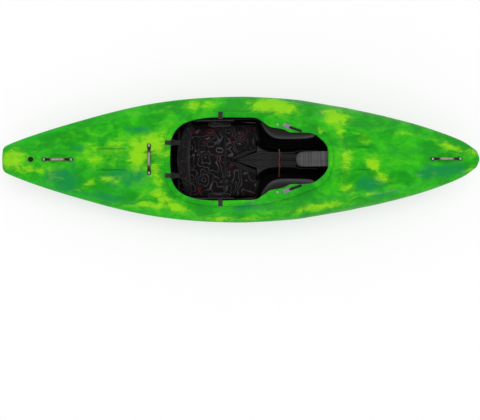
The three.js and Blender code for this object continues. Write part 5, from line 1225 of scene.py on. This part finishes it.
def build_cushions(sizes):
    """Seat pad, leg lifter, hip pads and backband."""
    rear, front, half, thick = -318.0, -80.0, 190.0, 32.0
    x = cosine_steps(rear + 5, front - 1.5, 34)
    draw, tuck = quarter_round((x - rear) / 26), quarter_round((front - x) / 9)
    height = seat_at(x)[0]
    rows = cushion_rings(x, 0, height + 0.6 + thick / 2 - 1, half - 5 - 26 * (1 - draw),
                         (thick / 2 - 4) * (0.35 + 0.65 * draw) * (0.6 + 0.4 * tuck))
    seat_top = lambda points: seat_at(np.clip(points[:, 0], SEAT["rear"], SEAT["front"]))[0]

    def on_seat(limit_low, limit_high, over):
        def hold(points):
            kept = np.clip(points, limit_low, limit_high)
            kept[:, 2] = np.maximum(kept[:, 2], seat_top(kept) + 0.6)
            kept[:, 2] = np.minimum(kept[:, 2], seat_top(kept) + over)
            return kept
        return hold

    hold = on_seat([rear, -half, 0], [front, half, 400], thick + 2)
    puffed("seat_cushion", "seat_pad", [rows], "printed_fabric", sizes.pressure, hold, 4, 7,
           reach=((rear + 0.5, 1 - half), (front - 0.5, half - 1)))

    rear, front, inner_at, outer_at, apex, thick = -77.0, 86.0, 55.0, 188.0, -50.0, 33.0
    lobes = []
    for _, side in SIDES:
        x = cosine_steps(rear + 1.5, front - 4, 30)
        draw = quarter_round(np.minimum((x - rear) * 2.4, front - x) / 22)
        along = np.clip((x - apex) / (front - apex), 0, 1)
        inner = np.where(x < apex, -4, 4 + inner_at * (1 - (1 - along) ** 1.7) ** 0.9)
        corner = 1 - quarter_round((front - x) / 30)
        inner = inner + 26 * corner
        outer = outer_at - 4 - 22 * (1 - draw) - 8 * corner
        height = seat_at(x)[0]
        lobes.append(cushion_rings(x, side * (inner + outer) / 2, height + 0.6 + thick / 2 - 1,
                                   (outer - inner) / 2 * (0.8 + 0.2 * draw),
                                   (thick / 2 - 4) * (0.4 + 0.6 * draw)))
    hold = on_seat([rear, -outer_at, 0], [front, outer_at, 400], thick + 1)
    puffed("leg_cushion", "leg_lifter_pad", lobes, "printed_fabric", sizes.pressure, hold, 3, 7,
           "leg_lifter", reach=((rear + 0.5, 1 - outer_at), (front - 0.5, outer_at - 1)))

    for word, _ in SIDES:
        low, high = (np.array(c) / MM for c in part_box(f"hip_pad_{word}"))
        x = cosine_steps(low[0] + 2, high[0] - 2, 20)
        draw = quarter_round(np.minimum(x - low[0], high[0] - x) / 14)
        middle, span = (low + high) / 2, (high - low) / 2
        rows = cushion_rings(x, middle[1], middle[2], (span[1] - 2) * (0.4 + 0.6 * draw),
                             (span[2] - 3) * (0.7 + 0.3 * draw), 24)
        puffed(f"hip_cushion_{word}", f"hip_pad_{word}", [rows], "printed_fabric", sizes.pressure,
               inside_box(low, high), 2, 5)

    build_backband(sizes)


BAND = {"x": -279.0, "wrap": 28.0, "tip": 201.2, "bottom": 112.0, "top": 279.0, "tip_low": 189.0,
        "tip_high": 206.0, "thick": 31.0, "tip_thick": 12.0, "lean": 43.0}
# Share of the height, and the thickness and lean there as shares.
BAND_ROWS = np.array([[0, 0.35, 0.05], [0.12, 0.85, 0], [0.35, 1, -0.04], [0.6, 1, -0.02], [0.76, 0.92, 0.08],
                      [0.88, 0.7, 0.42], [1, 0.22, 1]])
band_thick, band_lean = smooth_line(BAND_ROWS, 1), smooth_line(BAND_ROWS, 2)


def band_surface(y, share):
    """Centre x, centre z and thickness of the backband at a width y and a share of its height."""
    out = np.abs(y) / BAND["tip"]
    bottom = BAND["bottom"] + (BAND["tip_low"] - BAND["bottom"]) * np.minimum(out * 1.06, 1) ** 6
    top = BAND["top"] + (BAND["tip_high"] - BAND["top"]) * np.minimum(out * 1.15, 1) ** 1.4
    lean = BAND["lean"] * band_lean(share) * (1 - out ** 2)
    thick = (BAND["thick"] + (BAND["tip_thick"] - BAND["thick"]) * out ** 3) * band_thick(share)
    return BAND["x"] + BAND["wrap"] * out ** 2 - lean, bottom + (top - bottom) * share, thick


def build_backband(sizes):
    """The padded band: a face and a back over width and height, puffed, then stitched channels."""
    y = BAND["tip"] * np.sin(np.linspace(-np.pi / 2, np.pi / 2, 61))
    share = np.linspace(0, 1, 22)
    ys, shares = np.meshgrid(y, share, indexing="ij")
    x, z, thick = band_surface(ys, shares)
    thick = np.maximum(thick - 3.0, 1.5)
    dx, dz = np.gradient(x, axis=1), np.gradient(z, axis=1)
    size = np.maximum(np.hypot(dx, dz), 1e-6)
    face = np.stack([x + dz / size * thick / 2, ys, z - dx / size * thick / 2], -1)
    back = np.stack([x - dz / size * thick / 2, ys, z + dx / size * thick / 2], -1)
    rings = np.concatenate([face, back[:, ::-1]], 1)
    low, high = (np.array(c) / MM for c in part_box("backband"))
    made = puffed("back_support", "backband", [rings], "backband_fabric", sizes.pressure,
                  inside_box(low, high), 1, 3.5, "backband_unit", 4)
    # Stitched channels pressed in along the band after the remesh.
    points = points_of(made.data) / MM
    normals = normals_of(made.data)
    out = np.abs(points[:, 1]) / BAND["tip"]
    for level in (162.0, 206.0):
        line = level + (197 - level) * np.clip(out, 0, 1) ** 3
        press = np.exp(-((points[:, 2] - line) / 3.2) ** 2) * eased(out, 0.93, 0.8)
        points -= normals * (2.4 * press * (normals[:, 0] > 0.2))[:, None]
    set_points(made.data, points * MM)


# Webbing and straps
def along_path(path, step):
    """Points every step or so along a rounded path, by cutting its corners and then spacing evenly."""
    line = corner_cut(np.asarray(path, float), 3)
    away = lengths(line)
    at = np.linspace(0, away[-1], max(int(away[-1] / step), 4))
    return np.column_stack([np.interp(at, away, line[:, k]) for k in range(3)]), at


def strip(name, node, path, side, width, thick, finish, body, step=1.6, teeth=None):
    """A flat strap: a rounded flat profile carried along a path, with its length and width as UV "run"."""
    points, at = along_path(path, step)
    side = np.asarray(side, float) / np.linalg.norm(side)
    normal = unit(np.cross(side[None, :], unit(np.gradient(points, axis=0))))
    profile = np.array([[-1, -1], [1, -1], [1, 1], [0.5, 1], [0, 1], [-0.5, 1], [-1, 1]], float)
    profile = corner_cut(profile, 1, True)
    across, up = profile[:, 0] * width / 2, profile[:, 1] * thick / 2
    lift = np.zeros((len(at), len(profile)))
    if teeth:
        pitch, depth = teeth
        tooth = (at % pitch) / pitch
        lift = -depth * (tooth[:, None] * (profile[None, :, 1] > 0.5) * (np.abs(profile[None, :, 0]) < 0.8))
    rings = (points[:, None, :] + side[None, None, :] * across[None, :, None]
             + normal[:, None, :] * (up[None, :, None] + lift[..., None]))
    flat, faces = tube(rings)
    made = piece(name, flat, faces, finish, body, (node,), angle=35, weld=0.001)
    lay_run(made, points, at, lambda offset, near: (offset * side).sum(1))
    return made


def lay_run(made, line, along, across):
    """UV "run": length along a line to the place nearest each point, and across of the offset from there."""
    co = points_of(made.data) / MM
    near = nearest(co, line)
    uv = np.column_stack([along[near], across(co - line[near], near)]) * MM
    loops = np.zeros(len(made.data.loops), np.int32)
    made.data.loops.foreach_get("vertex_index", loops)
    layer = made.data.uv_layers.new(name="run")
    layer.data.foreach_set("uv", uv[loops].astype(np.float32).ravel())


def nearest(co, points):
    """For each point, the number of the nearest point on the path."""
    found = np.zeros(len(co), int)
    for start in range(0, len(co), 4000):
        part = co[start:start + 4000]
        found[start:start + 4000] = ((part[:, None, :] - points[None]) ** 2).sum(2).argmin(1)
    return found


def edge_x(y, curve):
    """Where a rim curve crosses a line at y, behind the seat."""
    some = curve[(curve[:, 1] >= 0) & (curve[:, 0] < 0)]
    return some[np.abs(some[:, 1] - y).argmin(), 0]


def build_webbing():
    """Straps over the rim, their buckles, and the toothed ladder straps."""
    web_thick, web_wide, loose = 2.0, 23.0, 0.8
    rear_y, hip_x, ladder_y = 84.0, -99.0, 203.0
    above = web_thick / 2 + loose
    top = lambda x: float(rim_top(x)) + above
    for word, side in SIDES:
        outer, opening = edge_x(rear_y - web_wide / 2, rim_outer), edge_x(rear_y, rim_inner)
        band_x, band_z, thick = (float(v[0]) for v in band_surface(np.array([rear_y]), np.array([0.78])))
        end = band_x - thick / 2 - 4.5
        path = [[outer - above, top(outer) - 6 - above], [outer - above, top(outer) - 3],
                [outer + 3, top(outer)], [opening, top(opening)], [opening + 10, top(opening) + above],
                [end, band_z]]
        path = [[x, side * rear_y, z] for x, z in path]
        webbing = strip(f"rear_webbing_{word}", f"rear_strap_{word}", path, (0, 1, 0), web_wide, web_thick,
                        "webbing", None)
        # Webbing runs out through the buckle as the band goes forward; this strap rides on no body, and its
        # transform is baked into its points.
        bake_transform(webbing)
        softened(f"strap_buckle_{word}", f"rear_strap_buckle_{word}", "black_plastic", 1.0)

        low, high = (np.array(c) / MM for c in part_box(f"hip_strap_{word}"))
        reach = np.sort(np.abs([low[1], high[1]]))
        inside, outside = reach[0] + web_thick / 2, reach[1] - web_thick / 2
        slope = float(rim_top(hip_x + web_wide) - rim_top(hip_x - web_wide)) / (2 * web_wide)
        skirt = max(float(rim_top(hip_x)) - RIM["skirt"], float(deck_at(hip_x, outside)) + RIM["gap"])
        over = top(hip_x)
        path = [[outside, skirt + loose], [outside, over - 3], [outside - 3, over], [inside + 3, over],
                [inside, over - 3], [inside, low[2]]]
        strip(f"hip_webbing_{word}", f"hip_strap_{word}", [[hip_x, side * a, b] for a, b in path],
              (1, 0, slope), web_wide, web_thick, "webbing", "hull")

        path = [[x, side * ladder_y, wing_level(x) + 11 + loose] for x in np.linspace(-262, 165, 8)]
        strip(f"ladder_strap_piece_{word}", f"ladder_strap_{word}", path, (0, 0, 1), 22.0, 3.0,
              "black_plastic", "backband_unit", step=0.8, teeth=(4.0, 0.9))


# Braces and ratchets
# Share of the length from the rear, and the inner edge's distance from the middle as a share.
BRACE_ROWS = np.array([[0, 1.75], [0.07, 1.46], [0.16, 1.21], [0.27, 1.06], [0.4, 1.01], [0.56, 1],
                       [0.75, 1.01], [0.9, 1.04], [1, 1.11]])
brace_inner = smooth_line(BRACE_ROWS, 1)
# Ends, inner edge, outer edge behind and in front, thickness, gap below the deck, and the bolt's place.
BRACE = {"rear": 107, "long": 273, "inner": 99, "outer": 188, "outer_front": 172, "thick": 9.0, "gap": 3,
         "bolt_x": 190.0, "bolt_y": 171.0}


def build_braces():
    """Thigh braces with their slotted bosses, ratchets, and the straps' tails in them."""
    share = cosine_steps(0, 1, 70)
    x = BRACE["rear"] + BRACE["long"] * share
    inner = brace_inner(share) * BRACE["inner"]
    outer = BRACE["outer"] + (BRACE["outer_front"] - BRACE["outer"]) * share
    high = deck_at(x, outer) - WALL - BRACE["gap"]
    inwards = np.linspace(0, 1, 14)[None, :]
    y = outer[:, None] + (inner - outer)[:, None] * inwards
    z = high[:, None] - 14 * inwards ** 2 + 4 * np.sin(np.pi * inwards) * inwards - BRACE["thick"] / 2
    rounding = quarter_round(np.minimum(share, 1 - share) / 0.03)[:, None]
    thick = BRACE["thick"] * (0.35 + 0.65 * rounding) * np.where(inwards == 0, 0.5, 1)
    across = np.broadcast_to(x[:, None], y.shape)
    turn = np.linspace(0, 2 * np.pi, 48, endpoint=False)

    def stadium(half, wide):
        straight = np.sign(np.cos(turn)) * np.maximum(half - wide, 0)
        return np.column_stack([straight + wide * np.cos(turn), wide * np.sin(turn)])

    outside, inside = stadium(13.8, 5.3), stadium(11.4, 3.4)
    bolt_x, bolt_y = BRACE["bolt_x"], BRACE["bolt_y"]
    # The boss stays short and low enough to pass the root of the rim's wall, which draws in ahead of it.
    top_z = rim_top(bolt_x + outside[:, 0]) - RIM["plate"] - 5.0
    low_z = deck_at(bolt_x + outside[:, 0], bolt_y) - WALL - BRACE["gap"] - 6
    for word, side in SIDES:
        top, under = (np.stack([across, side * y, z + up * thick / 2], -1) for up in (1, -1))
        rings = corner_cut(np.concatenate([top, under[:, ::-1]], 1), 1, closed=True)
        flat, faces = tube(rings)
        body, node = f"brace_{word}", f"thigh_brace_{word}"
        pad = piece(f"thigh_pad_{word}", flat, faces, "brace_plastic", body, (node,), 50)
        # Slotted boss: a ring of stadium outline between the pad and the hook.
        middle = [bolt_x, side * bolt_y, 0]
        ring = np.stack([np.column_stack([line, level]) for line, level in (
            (outside, low_z), (outside, top_z), (inside, top_z), (inside, low_z))], 1)
        flat, faces = tube(ring + middle, closed_run=True)
        piece(f"brace_boss_{word}", flat, faces, "brace_plastic", body, (node,))
        # The boss's slot goes on through the pad: a plug of its outline is taken out of it.
        taken = np.stack([np.column_stack([inside, np.full(len(turn), level)]) for level in (220.0, 330.0)])
        flat, faces = tube(taken + middle)
        plug_piece = piece(f"slot_plug_{word}", flat, faces, "brace_plastic", body)
        slotted = pad.modifiers.new("slot", "BOOLEAN")
        slotted.operation, slotted.solver, slotted.object = "DIFFERENCE", "EXACT", plug_piece
        freeze(pad)
        pad.data.set_sharp_from_angle(angle=math.radians(50))
        bpy.data.objects.remove(plug_piece)
        bolt_piece(f"thigh_brace_bolt_{word}", f"brace_screw_{word}", bolt_x * MM, side * bolt_y * MM)
        softened(f"ratchet_frame_{word}", f"ratchet_base_{word}", "bolt_steel", 0.5)
        softened(f"ratchet_arm_{word}", f"ratchet_lever_{word}", "bolt_steel", 0.6, body=f"lever_{word}")
        softened(f"ratchet_axle_{word}", f"ratchet_pin_{word}", "bolt_steel", 0.3)
        softened(f"strap_end_{word}", f"strap_tail_{word}", "black_plastic", 0.4)


# Inside the hull
def build_inside():
    """Foam pillars, footbrace plate and pad, rails, brackets and the hull bolts."""
    for name, node, body, width in (("front_foam_wall", "front_foam_pillar", "hull", 3.0),
                                    ("rear_foam_wall", "rear_foam_pillar", "hull", 3.0),
                                    ("foot_cushion", "footbrace_pad", "footbrace", 2.0)):
        softened(name, node, "grey_foam", width, 3, body)
    softened("foot_plate", "footbrace_plate", "black_plastic", 1.2, body="footbrace")
    for word, _ in SIDES:
        softened(f"foot_rail_{word}", f"footbrace_rail_{word}", "rail_aluminium", 0.5, body="footbrace")
        softened(f"rail_bracket_{word}", f"footbrace_bracket_{word}", "black_plastic", 0.8)
        for end in ("rear", "front"):
            softened(f"foot_screw_{word}_{end}", f"footbrace_bolt_{word}_{end}", "bolt_steel", 0.6)


# Cord
CORD_ROUTE = [
    (57, 84), (54, 108), (50.5, 134), (48, 156), (46.6, 170), (43.6, 177.6), (37, 180.2), (31, 180.6),
    (24.6, 170.6), (13, 163.6), (0, 165.4), (-13, 163.6), (-24.6, 170.6), (-31, 180.6), (-37, 180.2),
    (-44, 177.2), (-51, 168), (-58, 152), (-66, 130), (-76, 108), (-85, 92),
]


def build_cord():
    """The cord across the console: a round braided tube along its route, a knot at each end."""
    thick, place = 2.6, 204.5
    route = np.array([[place + 1.2 * math.sin(i), y, z] for i, (y, z) in enumerate(CORD_ROUTE)])
    line = centripetal(route, np.linspace(0, 1, 220), False)
    away = lengths(line)
    run = unit(np.gradient(line, axis=0))
    side = np.tile([1.0, 0, 0], (len(line), 1))
    side = unit(side - (side * run).sum(1)[:, None] * run)
    up = np.cross(run, side)
    turn = np.linspace(0, 2 * np.pi, 20, endpoint=False)
    radius = thick * (1 - 0.04 * np.abs(np.sin(away[:, None] * 0.9 + turn[None, :] * 2)))
    rings = (line[:, None, :] + side[:, None, :] * (radius * np.cos(turn))[..., None]
             + up[:, None, :] * (radius * np.sin(turn))[..., None])
    flat, faces = tube(rings)
    made = piece("console_cord", flat, faces, "red_cord", nodes=("console_bungee",))
    lay_run(made, line, away, lambda offset, near: np.arctan2(
        (offset * up[near]).sum(1), (offset * side[near]).sum(1)) * thick)
    knots = [knot_piece(f"cord_knot_{word}", at) for word, at in (("port", line[0]), ("starboard", line[-1]))]
    line[0] * MM
    line * MM


def knot_piece(name, at):
    """A small overhand knot: a trefoil line, carried as a closed tube."""
    size, thick = 0.82, 1.9
    t = np.linspace(0, 2 * np.pi, 90, endpoint=False)
    line = size * np.column_stack([np.sin(t) + 2 * np.sin(2 * t), np.cos(t) - 2 * np.cos(2 * t),
                                   -1.2 * np.sin(3 * t)])
    run = unit(np.roll(line, -1, 0) - np.roll(line, 1, 0))
    out = unit(line)
    out = unit(out - (out * run).sum(1)[:, None] * run)
    up = np.cross(run, out)
    turn = np.linspace(0, 2 * np.pi, 12, endpoint=False)[:, None]
    rings = line[:, None] + thick * (out[:, None] * np.cos(turn) + up[:, None] * np.sin(turn))
    flat, faces = tube(rings + at, closed_run=True)
    made = piece(name, flat, faces, "red_cord")
    made.data.uv_layers.new(name="run")
    return made


# Add-on classes
def colour_prop(label, note, value):
    return FloatVectorProperty(name=label, description=note, size=4, min=0, max=1, subtype="COLOR",
                               default=value)


class KayakColours(bpy.types.PropertyGroup):
    ground: colour_prop("Ground green", "Main green of the swirled deck", rgb(40, 184, 8))
    dark: colour_prop("Dark green", "Darker streaks of the ground green", rgb(10, 146, 10))
    light: colour_prop("Light green", "Lime patches of the swirled deck", rgb(134, 210, 4))
    deep: colour_prop("Deep green", "Blue-green patches of the swirled deck", rgb(4, 138, 62))
    side: colour_prop("Side green", "Plain green of the hull below the seam", rgb(20, 176, 32))
    # Painted shade: the colour the hull's sides darken to towards the bottom.
    low: colour_prop("Low green", "Darker green towards the bottom", rgb(8, 144, 28))
    # Painted shade: the near black of the hull's inner skin.
    painted_inner_shade: colour_prop("Lining", "Dark inside of the hull", rgb(13, 16, 13))


def number_prop(label, note, value, high, low=0.0, **more):
    return FloatProperty(name=label, description=note, default=value, min=low, max=high, **more)


class KayakSizes(bpy.types.PropertyGroup):
    wall: number_prop("Seat wall", "Wall thickness of the seat moulding", 3.0 * MM, 0.008, 0.001,
                      unit="LENGTH")
    pressure: number_prop("Pad pressure", "Pressure that puffs the padded fabric", 4.0, 20)


class KayakLook(bpy.types.PropertyGroup):
    key: number_prop("Key lamp", "Strength of the high lamp", 1.0, 10)
    fill: number_prop("Sky fill", "Strength of the light from all round", 0.7, 4)
    strips: number_prop("Strip lights", "Brightness of the side strips, as seen in gloss", 2.2, 10)
    white: number_prop("Floor white", "Share of plain white in the floor, as the camera sees it", 0.6, 1)
    zenith: number_prop("Zenith", "Brightness of the sky straight above, as seen in gloss", 0.3, 2)


def operator(label, note, work, group=None):
    """An operator class that builds one group of pieces, from a group of settings where it needs one."""
    def execute(self, context):
        work(*([getattr(context.scene, group)] if group else []))
        return {"FINISHED"}
    name = label.lower().replace(" ", "_")
    return type(f"KAYAK_OT_{name}", (bpy.types.Operator,), {
        "__doc__": note, "bl_idname": f"kayak.{name}", "bl_label": label, "bl_options": {"REGISTER"},
        "execute": execute})


OPERATORS = [
    operator("Stage", "Floor, lamps and camera", build_stage, "kayak_look"),
    operator("Finishes", "Node groups and materials", build_finishes, "kayak_colours"),
    operator("Cord", "Red cord across the console", build_cord),
    operator("Hull", "Hull skin and cockpit coaming", build_hull),
    operator("Fittings", "Handles, bar, bolts and drain", build_fittings),
    operator("Seat", "Seat and console mouldings", build_seat, "kayak_sizes"),
    operator("Cushions", "Seat pad, leg pad, hip pads and backband", build_cushions, "kayak_sizes"),
    operator("Webbing", "Straps and buckles", build_webbing),
    operator("Braces", "Thigh braces and ratchets", build_braces),
    operator("Inside", "Foam pillars and footbrace", build_inside),
]


class KAYAK_PT_finish(bpy.types.Panel):
    """Lists the kayak's pieces and settings"""
    bl_idname = "KAYAK_PT_finish"
    bl_label = "Kayak"
    bl_space_type = "VIEW_3D"
    bl_region_type = "UI"
    bl_category = "Kayak"

    def draw(self, context):
        for made in OPERATORS:
            self.layout.operator(made.bl_idname)
        for group in (context.scene.kayak_sizes, context.scene.kayak_colours, context.scene.kayak_look):
            for name in group.__annotations__:
                self.layout.prop(group, name)


CLASSES = [KayakColours, KayakSizes, KayakLook, *OPERATORS, KAYAK_PT_finish]
GROUPS = (("kayak_colours", KayakColours), ("kayak_sizes", KayakSizes), ("kayak_look", KayakLook))


def register():
    for made in CLASSES:
        bpy.utils.register_class(made)
    for name, group in GROUPS:
        setattr(bpy.types.Scene, name, PointerProperty(type=group))


def unregister():
    for name, _ in GROUPS:
        delattr(bpy.types.Scene, name)
    for made in reversed(CLASSES):
        bpy.utils.unregister_class(made)


def main():
    register()
    for made in OPERATORS:
        getattr(bpy.ops.kayak, made.bl_idname.split(".")[1])()


if __name__ == "__main__":
    main()
